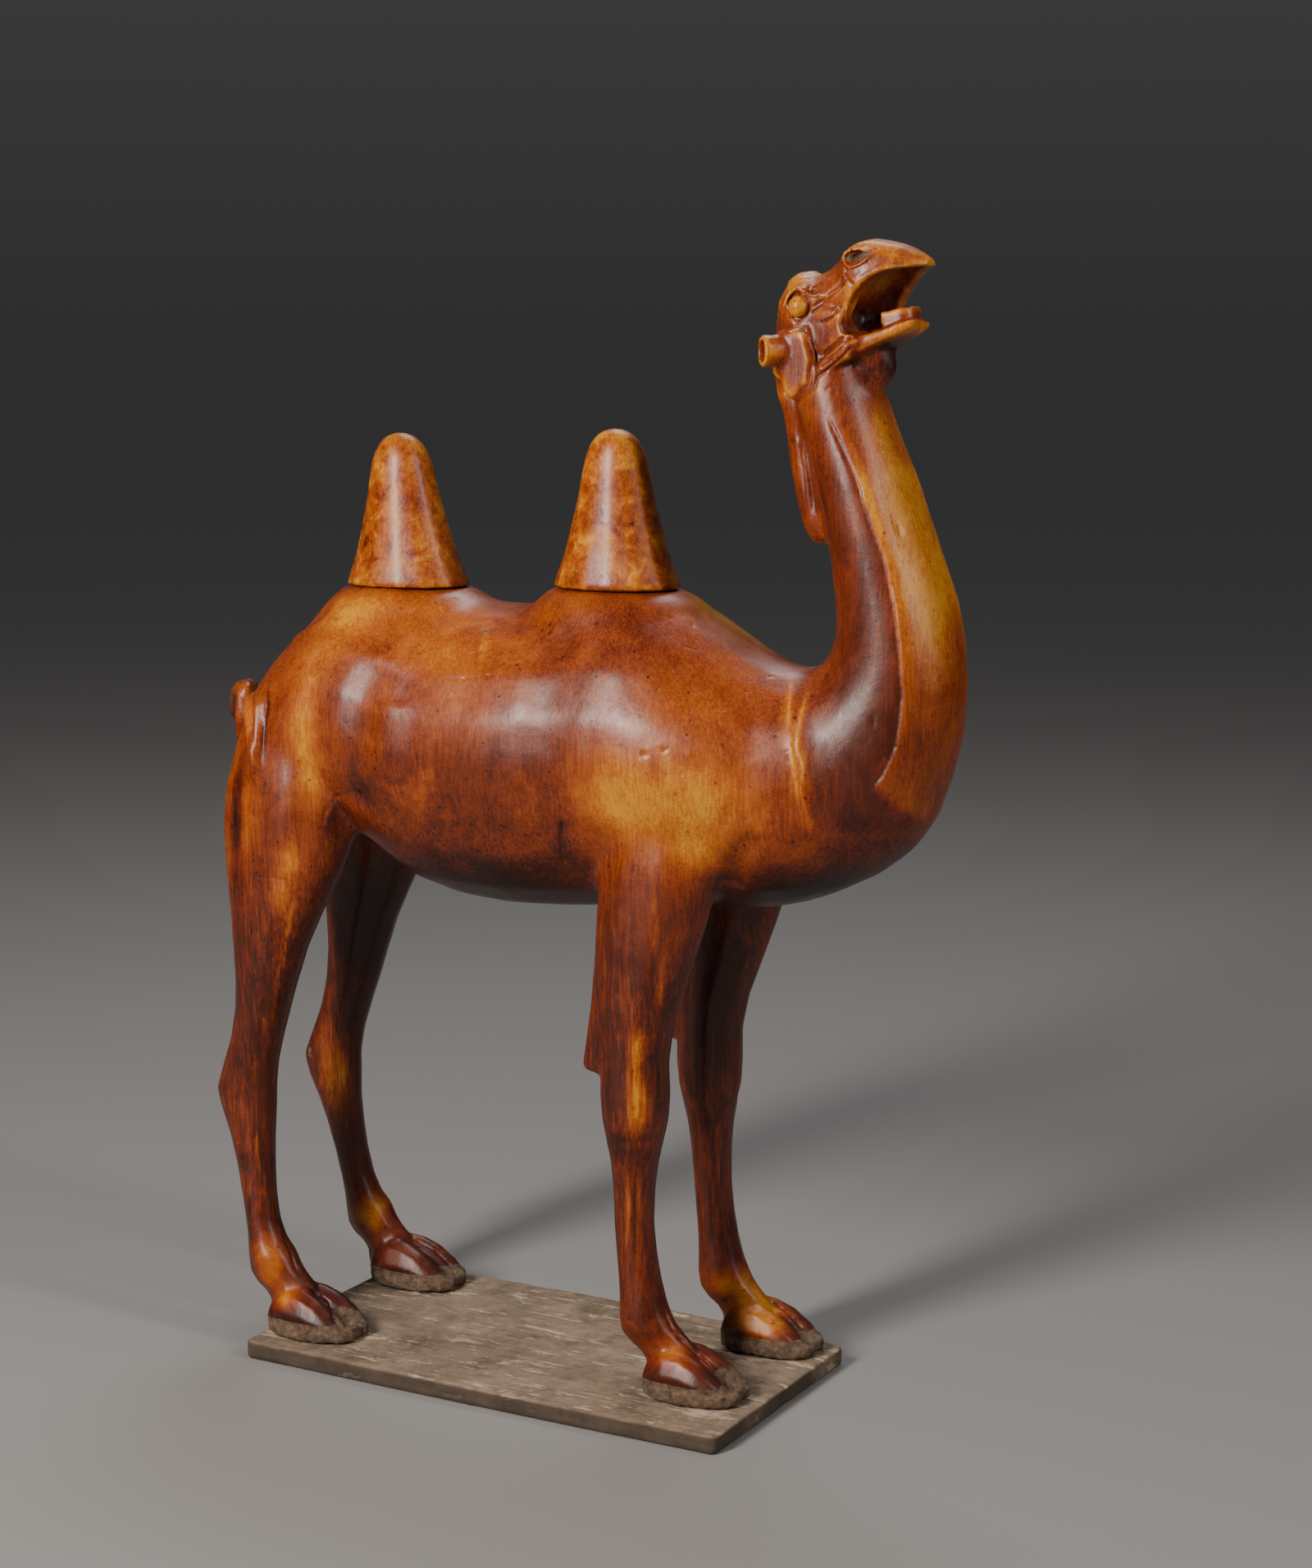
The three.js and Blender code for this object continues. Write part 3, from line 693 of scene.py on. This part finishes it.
# Grooves and ridges of the neck, the body and the legs, on both sides of the animal
BODY_LINES = (
    (2.6, -1.0, ((1007, 504), (1022, 536), (1040, 576), (1054, 611))),
    (3.4, -2.0, ((977, 504), (983, 548), (989, 590), (994, 630))),
    (1.6, -1.0, ((966, 480), (973, 530), (980, 580), (986, 640))),
    (1.2, -0.8, ((1086, 640), (1092, 636), (1097, 641), (1098, 650), (1100, 655))),
    (1.0, -0.6, ((1065, 874), (1064, 890))),
    (24.0, -2.4, ((470, 800), (446, 842), (438, 890), (436, 950), (440, 990))),
    (5.0, -0.5, ((433, 880), (430, 905), (429, 940), (430, 968))),
    (22.0, 1.5, ((480, 850), (476, 900), (480, 960))),
    (9.0, 2.0, ((427, 716), (394, 758), (353, 785))),
    (3.0, -0.9, ((416, 968), (406, 976), (397, 992), (394, 1012))),
    (4.0, 0.8, ((409, 971), (400, 990), (396, 1014))),
    (30.0, -2.4, ((690, 745), (678, 800), (672, 860), (668, 930), (670, 990), (680, 1040))),
    (2.2, -1.8, ((683, 1002), (682, 1030), (690, 1058))),
    (14.0, -2.6, ((925, 1010), (905, 1045), (890, 1085))),
    (2.4, -0.9, ((750, 1128), (755, 1152), (754, 1180), (753, 1219))),
    (3.0, 0.8, ((745, 1128), (749, 1152), (748, 1185), (747, 1219))),
    (6.0, -0.6, ((800, 1110), (798, 1170), (800, 1230))),
    (6.0, -0.9, ((742, 1384), (765, 1394), (790, 1392), (805, 1380))),
    (2.5, -1.0, ((810, 1595), (817, 1612), (823, 1625))),
    (5.0, -0.9, ((322, 1240), (318, 1290), (322, 1340))),
    (2.6, -1.1, ((345, 1500), (356, 1530), (365, 1555))),
)
# The edge of the neck's front panel, from the cheek down to the chest, which stands above the rest
NECK_EDGE = (
    (1037, 564), (1058, 628), (1077, 679), (1090, 739), (1097, 803), (1100, 850), (1092, 910), (1075, 949),
    (1058, 970),
)
EDGE_WIDTH = 0.0030
EDGE_HEIGHT = 0.0017
EDGE_FADE = 0.022
EDGE_GROOVE = (0.0022, -0.0006)
# Clefts of the feet, which the camera sees on each foot
CLEFTS = (
    (2.6, -2.4, ((823, 1626), (843, 1643), (860, 1658), (879, 1679), (887, 1689))),
    (2.6, -2.4, ((925, 1575), (947, 1591), (968, 1608), (982, 1624))),
    (2.6, -2.4, ((375, 1567), (397, 1589), (408, 1608), (424, 1622))),
    (2.4, -2.2, ((502, 1510), (532, 1526), (551, 1545), (560, 1557))),
)
# The tail's end, which lies on the near thigh, then cracks, scratches and repairs
CRACKS = (
    (7.0, 4.0, ((301, 828), (303, 860), (306, 890), (310, 916), (314, 945))),
    (7.0, 4.5, ((319, 820), (319, 850), (317, 880), (316, 912), (314, 945))),
    (2.2, -1.4, ((311, 842), (312, 870), (311, 900))),
    (2.4, -1.2, ((328, 822), (327, 860), (323, 900), (317, 945))),
    (1.2, 0.5, ((967, 816), (963, 844), (962, 878), (966, 918), (969, 947), (973, 976), (979, 1004),
                 (982, 1030))),
    (1.2, 0.5, ((989, 829), (980, 858), (974, 890), (973, 913), (979, 935), (977, 964), (983, 990),
                 (989, 1016), (989, 1030))),
    (0.9, -0.6, ((819, 816), (829, 812), (841, 815), (851, 815))),
    (1.0, -0.6, ((833, 785), (841, 788), (852, 791))),
    (0.9, 0.4, ((835, 841), (841, 845), (847, 846))),
    (0.9, -0.5, ((754, 1192), (754, 1218))),
    (0.8, -0.5, ((307, 1438), (326, 1440))),
    (0.8, -0.5, ((420, 1403), (436, 1394))),
    (1.6, -0.8, ((280, 1066), (309, 1069), (335, 1072), (359, 1074))),
    (1.0, 0.8, ((295, 935), (300, 944), (306, 950))),
    (1.0, 0.5, ((774, 1366), (779, 1371), (784, 1366))),
)
# Full places of the barrel and the shoulder: place in pixels, and half-width, half-height and height in
# millimetres. The far side has less of them.
BULGES = (
    (600, 880, 80, 76, 5.0), (818, 925, 62, 60, 4.5), (948, 905, 28, 46, 2.0), (345, 960, 40, 90, 2.5),
)
FAR_FULLNESS = 0.35
# Pits and dents: place in pixels, and half-width, half-height and depth in millimetres before the glaze,
# which leaves PIT_SHARE of the depth
PITS = (
    (725, 789, 4.0, 1.6, -1.2), (845, 760, 2.0, 3.0, -1.4), (818, 753, 1.4, 3.4, -1.0),
    (577, 798, 4.5, 1.8, -1.6), (569, 829, 4.8, 1.7, -1.8), (557, 830, 2.4, 1.0, -1.0),
    (581, 827, 2.2, 1.0, -1.0), (598, 825, 3.0, 1.4, -1.3), (591, 769, 3.2, 2.2, 1.0),
    (652, 766, 1.4, 1.4, -0.8), (911, 841, 3.2, 2.6, -1.6), (940, 824, 2.6, 1.2, -1.0),
    (814, 824, 1.2, 1.2, -0.8), (756, 911, 1.4, 1.4, -0.8), (788, 920, 4.5, 3.2, -1.8),
    (812, 915, 3.6, 2.4, -1.4), (832, 944, 2.2, 2.2, -1.2), (842, 920, 2.2, 2.8, 0.8),
    (900, 986, 2.0, 1.2, -0.8), (808, 1010, 2.2, 1.6, -0.9), (734, 1249, 1.8, 4.0, -1.6),
    (731, 1266, 1.8, 4.4, -1.6), (752, 1235, 2.2, 2.6, 0.8), (791, 1253, 4.0, 3.0, -1.6),
    (778, 1370, 3.2, 2.2, -1.2), (1091, 713, 2.6, 3.0, -1.4), (664, 1105, 5.0, 4.0, 2.2),
    (789, 1567, 2.0, 1.4, -0.8), (433, 969, 5.0, 6.0, -2.5), (432, 964, 2.4, 2.4, 2.4),
    (434, 974, 2.0, 2.6, 2.0), (978, 402, 3.0, 2.2, -0.9), (1094, 321, 4.0, 1.4, -0.8),
    (555, 850, 2.2, 1.0, -0.7), (640, 815, 1.6, 1.0, -0.7), (700, 845, 2.0, 1.4, -0.7),
)
PIT_SHARE = 0.6
# The eyeball, and the small wart and pit before the eye: as above, and then how full each is
EYE_FORMS = (
    (974, 371, 6.8, 8.2, 3.4, 0.6), (990, 350, 3.0, 2.2, 1.4, 1.5), (992, 355, 1.8, 1.4, -1.4, 1.5),
)
# Lumps left by the hand, on the body and the legs: height, size and the random seed
HAND_LUMPS = ((0.0016, 0.058, 5), (0.0005, 0.027, 6))
LUMPS_DOWN = 0.0006
LEG_LUMPS = 0.25
FINE_LUMPS = (0.00012, 0.011, 7)
# The crumbling sole below the glaze: where it ends, and how deep it crumbles
SOLE_TOP = (0.0260, 0.0290)
SOLE_CRUMBLE = 0.0009

form_work = ClaySurface(camel)
for width, height, pixels in HEAD_LINES:
    for rows in both(camel, pixels, head=True):
        form_work.line(rows, width / 1000, height / 1000)
for width, height, pixels in BODY_LINES:
    for rows in both(camel, pixels):
        form_work.line(rows, width / 1000, height / 1000)
neck_edges = [rows[::-1] if number else rows for number, rows in enumerate(both(camel, NECK_EDGE))]
for rows in neck_edges:
    form_work.step(rows, EDGE_WIDTH, EDGE_HEIGHT, EDGE_FADE)
    form_work.line(rows, *EDGE_GROOVE)
for width, height, pixels in CLEFTS + CRACKS:
    form_work.line(seen(camel, pixels), width / 1000, height / 1000)
for x, y, wide, tall, height in BULGES:
    for rows, fullness in zip(both(camel, [(x, y)]), (1.0, FAR_FULLNESS)):
        form_work.dab(rows[0], wide / 1000, tall / 1000, fullness * height / 1000)
for x, y, wide, tall, height in PITS:
    for row in seen(camel, [(x, y)]):
        form_work.dab(row, wide / 1000, tall / 1000, PIT_SHARE * height / 1000)
for x, y, wide, tall, height, fullness in EYE_FORMS:
    for rows in both(camel, [(x, y)], head=True):
        form_work.dab(rows[0], wide / 1000, tall / 1000, height / 1000, fullness)
x, y, z = form_work.points.T
lumps = sum(height * bumps(form_work.points, size, seed) for height, size, seed in HAND_LUMPS) - LUMPS_DOWN
form_work.lift += (LEG_LUMPS + (1 - LEG_LUMPS) * ramp(z, 0.34, 0.42)) * (1 - head_part(x, y, z)) * lumps
form_work.lift += FINE_LUMPS[0] * bumps(form_work.points, *FINE_LUMPS[1:])
flattened = form_work.points * np.array([1, 1, 4])
crumbs = np.abs(bumps(flattened, 0.007, 8) + bumps(form_work.points, 0.004, 9))
form_work.lift -= (1 - ramp(z, *SOLE_TOP)) * SOLE_CRUMBLE * crumbs

# Patches of tone: place, half-width and half-height in pixels, and strength. The near side's patches are
# repeated on the far side, a little weaker, but the bare spots are not.
PATCHES = {
    GOLDEN: (
        (823, 975, 95, 62, 1.0), (850, 1040, 30, 22, 0.6), (745, 985, 34, 50, 0.5),
        (905, 765, 60, 40, 1.0), (860, 735, 46, 26, 0.9), (955, 795, 28, 16, 0.5),
        (860, 850, 70, 45, 0.35), (455, 738, 55, 30, 0.8), (560, 860, 60, 60, 0.4),
        (640, 800, 50, 60, 0.25), (345, 1100, 14, 60, 0.4), (420, 748, 30, 22, 0.5),
        (560, 742, 50, 18, 0.45), (520, 790, 60, 40, 0.5), (400, 800, 40, 60, 0.5),
        (700, 735, 40, 16, 0.25), (370, 880, 22, 55, 0.7), (380, 945, 20, 40, 0.6),
        (352, 1049, 15, 24, 0.9), (300, 1000, 12, 40, 0.35), (338, 1090, 12, 26, 0.5),
        (327, 1540, 22, 36, 1.4), (452, 1480, 22, 26, 1.4), (348, 1584, 22, 14, 1.0),
        (405, 1320, 18, 50, 1.0), (420, 1312, 10, 34, 0.5), (778, 1350, 16, 32, 0.85),
        (775, 1290, 9, 40, 0.75), (930, 1600, 40, 34, 1.6), (890, 1566, 30, 18, 1.0),
        (822, 1652, 26, 16, 0.9), (862, 1665, 10, 14, 0.5), (1120, 640, 34, 90, 0.9),
        (1140, 740, 30, 70, 0.6), (1075, 545, 26, 50, 0.6), (1000, 320, 30, 10, 0.5),
        (974, 371, 9, 11, 0.9), (1055, 352, 22, 16, 0.9), (1085, 338, 20, 14, 0.9),
        (1040, 376, 14, 12, 0.8), (1112, 402, 34, 7, 0.7), (985, 335, 26, 14, 0.8),
        (966, 350, 12, 16, 0.6), (1010, 360, 14, 20, 0.3), (1055, 300, 26, 8, 0.6),
        (1075, 515, 22, 45, 0.5),
    ),
    # Of the dark patches, those under the chin, on the far legs and at the back edge of the near thigh are
    # painted shade, and the two wide ones along the bottom of the body are painted shade and darker glaze
    # together
    DARK: (
        (600, 1075, 120, 34, 0.55), (980, 1090, 100, 34, 0.5), (690, 1035, 20, 34, 0.5),
        (1118, 905, 26, 38, 0.45), (1042, 1004, 26, 14, 0.4), (1150, 880, 18, 60, 0.3),
        (410, 830, 30, 60, 0.25), (440, 960, 26, 30, 0.45), (405, 1000, 14, 40, 0.45),
        (285, 1000, 10, 90, 0.35), (870, 1200, 40, 90, 0.65), (450, 1130, 50, 100, 0.65),
        (745, 1395, 26, 16, 0.35), (1090, 440, 20, 30, 0.55), (1060, 460, 30, 20, 0.35),
        (1060, 392, 20, 14, 0.35), (875, 1675, 14, 12, 0.5), (397, 1590, 12, 14, 0.6),
        (280, 870, 8, 30, 0.6), (1000, 720, 14, 60, 0.25), (1005, 610, 10, 60, 0.3),
        (350, 1605, 18, 12, 0.35), (1030, 985, 60, 50, 0.25), (1090, 940, 60, 60, 0.25),
        (1060, 700, 14, 90, 0.25), (290, 980, 10, 90, 0.5),
    ),
    RED: (
        (1020, 640, 30, 110, 0.7), (1040, 930, 62, 100, 0.8), (1120, 850, 26, 90, 0.7),
        (790, 1135, 80, 60, 0.8), (600, 900, 90, 110, 0.35), (1040, 790, 34, 60, 0.8),
        (334, 1010, 22, 80, 0.8), (380, 870, 40, 30, 0.4), (660, 800, 24, 60, 0.35),
        (600, 740, 40, 16, 0.35), (780, 1130, 60, 60, 0.5), (320, 1300, 22, 110, 0.55),
        (780, 1480, 26, 80, 0.35), (980, 440, 18, 34, 0.55), (1000, 400, 26, 26, 0.4),
        (420, 840, 20, 60, 0.45), (870, 1450, 24, 90, 0.2), (435, 1420, 24, 50, 0.5),
        (985, 580, 12, 60, 0.4), (820, 1670, 26, 20, 0.3), (560, 960, 60, 60, 0.2),
        (1100, 960, 50, 40, 0.4),
    ),
    BARE: (
        (895, 1686, 30, 17, 1.0), (996, 1618, 20, 16, 1.0), (420, 1612, 26, 20, 0.9),
        (557, 1532, 18, 12, 0.9), (591, 769, 3.5, 2.5, 1.3), (652, 766, 1.6, 1.6, 1.2),
        (978, 402, 4, 3, 1.1), (1094, 321, 4, 1.6, 0.9), (378, 1282, 8, 16, 0.55), (842, 788, 5, 1.5, 0.7),
        (1043, 315, 9, 5, 1.2), (1054, 311, 8, 4, 1.1),
    ),
}
FAR_TONES = 0.8
# How far golden lies ahead of the neck's edge and red behind it, in metres, and how strong they are
NECK_FIELD_REACH = 0.065
NECK_GOLD = 0.60
NECK_RED = 0.30
# Streaks of tone, on both sides: half-width in millimetres, strength and line
STREAKS = {
    GOLDEN: (
        (2.0, 0.8, ((782, 1250), (776, 1290), (781, 1340), (786, 1386))),
        (1.6, 0.6, ((764, 1420), (766, 1480), (762, 1540))), (1.4, 0.5, ((790, 1410), (790, 1500))),
        (1.8, 0.5, ((868, 1130), (856, 1180), (846, 1240))),
        (1.5, 0.5, ((345, 1120), (338, 1200), (330, 1260))),
        (1.5, 0.6, ((365, 1080), (350, 1140), (345, 1200))), (1.4, 0.5, ((300, 1330), (304, 1420))),
        (1.6, 1.0, ((1037, 398), (1048, 407), (1074, 402), (1098, 398), (1124, 391))),
        (1.2, 1.0, ((1076, 388), (1098, 380), (1118, 375))),
        (1.6, 0.9, ((955, 384), (957, 370), (963, 358), (974, 350), (986, 346), (1000, 340))),
        (3.0, 0.6, ((1110, 585), (1130, 640), (1140, 700), (1145, 760))),
        (2.4, 0.6, ((1016, 500), (1044, 562), (1066, 626), (1085, 677))),
        (2.0, 0.7, ((1085, 905), (1072, 940), (1058, 965))),
        (2.2, 0.6, ((598, 740), (590, 780), (585, 830))),
        (2.6, 0.55, ((798, 1085), (797, 1130), (799, 1170))),
        (2.2, 0.55, ((823, 1140), (812, 1163), (805, 1200), (803, 1240))),
        (2.4, 0.5, ((778, 1400), (779, 1470), (778, 1540), (780, 1590))),
        (1.6, 0.7, ((322, 1235), (323, 1266))), (1.6, 0.6, ((311, 1284), (311, 1322))),
        (1.4, 0.6, ((313, 1378), (313, 1416))), (1.4, 0.5, ((322, 1356), (322, 1384))),
        (2.0, 0.5, ((874, 1360), (876, 1405), (874, 1450))),
        (2.0, 0.5, ((735, 1140), (737, 1200), (733, 1240))),
        (2.4, 0.45, ((520, 900), (515, 960), (512, 1010))),
    ),
    DARK: (
        (1.4, 0.6, ((760, 1250), (762, 1330), (764, 1380))),
        (1.4, 0.6, ((805, 1250), (803, 1330), (800, 1370))),
        (1.4, 0.5, ((776, 1400), (774, 1480), (774, 1560))),
        (1.4, 0.5, ((315, 1120), (308, 1200), (306, 1280))),
        (1.4, 0.5, ((318, 1290), (318, 1380), (322, 1450))),
        (1.4, 0.5, ((775, 1100), (772, 1180), (770, 1230))),
        # The two wide dark streaks are painted shade along the girth valley and the flank fold
        (9.0, 0.12, ((680, 782), (672, 850), (668, 920), (668, 1000))),
        (7.0, 0.15, ((440, 842), (432, 890), (430, 958))),
        (1.6, 0.5, ((786, 1290), (790, 1330), (786, 1360))),
        (2.0, 0.45, ((862, 1420), (866, 1480), (870, 1530))),
    ),
}
# The tail's end and the filled cracks of the chest, which are on the near side alone
NEAR_STREAKS = {
    GOLDEN: (
        (5.0, 0.6, ((303, 830), (304, 860), (307, 890), (312, 920))),
        (2.2, 1.0, ((967, 816), (963, 844), (962, 878), (966, 918), (969, 947), (973, 976), (979, 1004),
                    (982, 1030))),
        (2.2, 1.0, ((989, 829), (980, 858), (974, 890), (973, 913), (979, 935), (977, 964), (983, 990),
                    (989, 1016), (989, 1030))),
    ),
    DARK: (
        (2.4, 0.7, ((329, 822), (328, 860), (324, 900), (318, 945))),
        (1.6, 0.6, ((311, 842), (312, 870), (311, 900))),
    ),
}
# Heights in metres between which the legs pass into the body, the belly's painted shade comes and goes, the
# soles' painted shade ends, and the glaze ends
LEGS_END = (0.30, 0.41)
BELLY_SHADE_FROM = (0.30, 0.36)
BELLY_SHADE_TO = (0.48, 0.56)
SOLE_SHADE = (0.028, 0.042)
GLAZE_END = (0.0245, 0.0320)

# The places of all tones are found before the points are moved
tone_places = []
for tone, patches in PATCHES.items():
    for x, y, wide, tall, strength in patches:
        for row in seen(camel, [(x, y)]):
            tone_places.append((tone, row, wide * PIXEL, tall * PIXEL, strength))
            if tone != BARE and row[1] < BODY_MIDDLE[1]:
                mirrored = other_side(camel, [row])[0]
                tone_places.append((tone, mirrored, wide * PIXEL, tall * PIXEL, strength * FAR_TONES))
tone_lines = []
for tone, streaks in STREAKS.items():
    for width, strength, pixels in streaks:
        tone_lines += [(tone, rows, width / 1000, strength) for rows in both(camel, pixels)]
for tone, streaks in NEAR_STREAKS.items():
    for width, strength, pixels in streaks:
        tone_lines.append((tone, seen(camel, pixels), width / 1000, strength))

form_work.finish_form()
decimated(camel, BODY_FACES)
hollow = hollows(camel)
tones = ClaySurface(camel)
x, y, z = tones.points.T
down = -tones.normals[:, 2]
legs = 1 - ramp(z, *LEGS_END)
feet = foot_part(x, y, z)
head = head_part(x, y, z)
relief = hollow / np.percentile(np.abs(hollow[head > 0.5]), 80)
golden, dark, red, bare = tones.tones.T
# The head is golden where it stands proud and dark in its hollows, and the body's hollows are dark too:
# glaze pooled thick there and painted shade together. The legs are redder and darker
golden += (0.10 + np.clip(-relief - 0.30, 0, 1)) * head
dark += 0.45 * np.clip(relief - 0.35, 0, 1) * head
dark += np.clip(hollow * 250, 0, 0.3) * (1 - head) + 0.16 * legs + 0.10 * head
red += 0.60 * legs + 0.1 * feet
# The belly, where it faces down, is darkened with painted shade and with glaze pooled thick there together,
# the glaze just above the soles is darkened with painted shade, and below the glaze the clay is bare
dark += 0.35 * ramp(down, 0.2, 0.8) * ramp(z, *BELLY_SHADE_FROM) * (1 - ramp(z, *BELLY_SHADE_TO))
dark += 0.4 * (1 - ramp(z, *SOLE_SHADE))
bare += 1.2 * (1 - ramp(z, *GLAZE_END))
for tone, row, wide, tall, strength in tone_places:
    tones.patch(tone, row, wide, tall, strength)
for rows in neck_edges:
    tones.fields(rows, NECK_FIELD_REACH, (GOLDEN, NECK_GOLD), (RED, NECK_RED))
for tone, rows, width, strength in tone_lines:
    tones.streak(tone, rows, width, strength)
tones.finish_tones()
camel.data.materials.append(glaze_material("amber_glaze", **BODY_GLAZE))
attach(camel, "root")
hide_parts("camel")

# Humps
# Two loose hollow caps, each thrown or moulded on its own, that stand on the flat seats of the back.
# They are clay under the same amber glaze, more mottled than the body's, with a flared lip round the foot.
HUMP_VOXEL = 0.0014
HUMP_FACES = 40000
HUMP_LUMPS = (0.0004, 0.026, 21)
HUMP_GLAZE = {"streak_height": 0.40, "streakiness": 0.35, "mottling": 1.7, "mottle_scale": 62}
# The pattern's shift, to which the name's length is added, so that the two humps differ
HUMP_SHIFT = 3.0
HUMP_GOLD = 0.42
HOLLOW_SHARE = 1800


def all_of_it(x, y, z):
    """1 everywhere."""
    return np.ones(len(x))


for name in ("hump_front", "hump_rear"):
    hump = form(name, HUMP_VOXEL, finest=0.0012, levels=((0.0070, all_of_it, 0.0022),))
    work = ClaySurface(hump)
    work.lift += HUMP_LUMPS[0] * bumps(work.points, *HUMP_LUMPS[1:])
    work.finish_form()
    decimated(hump, HUMP_FACES)
    hollow = hollows(hump)
    tones = ClaySurface(hump)
    above_seat = tones.points[:, 2] - tones.points[:, 2].min()
    golden, dark, red, _ = tones.tones.T
    # Golden where it stands proud, dark in its hollows with pooled glaze and painted shade together, and
    # darker and redder towards its foot
    golden += HUMP_GOLD + np.clip(-hollow * HOLLOW_SHARE, 0, 0.4)
    dark += np.clip(hollow * HOLLOW_SHARE, 0, 0.5) + 0.3 * (1 - ramp(above_seat, 0.002, 0.016))
    red += 0.25 * (1 - ramp(above_seat, 0.005, 0.04))
    tones.finish_tones()
    hump.data.materials.append(glaze_material(name + "_glaze", shift=HUMP_SHIFT + len(name), **HUMP_GLAZE))
    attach(hump, "root")
    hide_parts(name)

# Slab
# The base: one flat slab of coarse clay, cut by hand, fired without glaze and darkened by burial.
# The feet stand on it with their rough soles, and its dark skin has flaked off in pale streaks.
SLAB_VOXEL = 0.0022
SLAB_FACES = 90000
# Wear of the slab's surface: height, size and the random seed
SLAB_WEAR = ((0.0006, 0.030, 11), (0.0004, 0.011, 12), (0.0003, 0.0045, 13))
# Where the four feet stand, in metres, and the slab's two tones: wiped round the feet, and darker on the
# faces that don't look up
FEET_PLACES = ((0.153, -0.047), (0.166, 0.075), (-0.170, -0.062), (-0.166, 0.078))
FOOT_LENGTHENED = 1.5
WIPED_RING = (0.024, 0.046)
WIPED, EDGE = GOLDEN, DARK
SKIN_DARK = (0.105, 0.072, 0.047, 1)
SKIN_PALE = (0.330, 0.240, 0.162, 1)
FLAKE_COLOUR = (0.470, 0.355, 0.250, 1)
EDGE_COLOUR = (0.036, 0.025, 0.017, 1)
SLAB_ROUGHNESS = 0.93

slab = form("plinth", SLAB_VOXEL, finest=0.0012, levels=())
slab.name = "plinth_clay"
slab_work = ClaySurface(slab)
upper = ramp(slab_work.normals[:, 2], 0.3, 0.9)
wear = sum(height * bumps(slab_work.points, size, seed) for height, size, seed in SLAB_WEAR)
slab_work.lift += np.minimum(wear, 0.0) * (0.6 + upper)
slab_work.points[:, 2] = np.maximum(slab_work.points[:, 2], 0.0)
slab_work.finish_form()
decimated(slab, SLAB_FACES)
slab_tones = ClaySurface(slab)
x, y, z = slab_tones.points.T
slab_tones.tones[:, EDGE] = 1 - ramp(slab_tones.normals[:, 2], 0.4, 0.8)
for middle in FEET_PLACES:
    away = np.hypot((x - middle[0]) / FOOT_LENGTHENED, y - middle[1])
    slab_tones.tones[:, WIPED] += 1 - ramp(away, *WIPED_RING)
slab_tones.finish_tones()


def clay_material():
    """Bare grey-brown clay, its dark skin flaked off in pale streaks and wiped pale round the feet."""
    material, tree, shader, places, (wiped, edge, _, _) = toned_material("bare_clay")
    ground = noise(tree, places, 34, 12, 0.72)
    hairs = noise(tree, drawn_out(tree, places, (0.10, 1, 1)), 260, 4, 0.6)
    flakes = noise(tree, drawn_out(tree, places, (0.38, 1, 1)), 66, 12, 0.78, 0.25)
    skin = rise(tree, total(tree, (hairs, 0.35), (ground, 1.0)), 0.50, 0.86)
    skin = blended(tree, skin, SKIN_DARK, SKIN_PALE)
    flaked = total(tree, (flakes, 1.0), (hairs, 0.30), (wiped, 0.05), (edge, -0.020))
    pale = rise(tree, flaked, 0.680, 0.740)
    colour = blended(tree, pale, skin, FLAKE_COLOUR)
    colour = blended(tree, product(tree, edge, 0.80), colour, EDGE_COLOUR)
    tree.links.new(colour, shader.inputs["Base Color"])
    shader.inputs["Roughness"].default_value = SLAB_ROUGHNESS
    fine_relief(tree, shader, total(tree, (ground, 1.0), (pale, -0.5)), 0.7, 0.0016)
    return material


slab.data.materials.append(clay_material())
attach(slab, "root")
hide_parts("plinth")
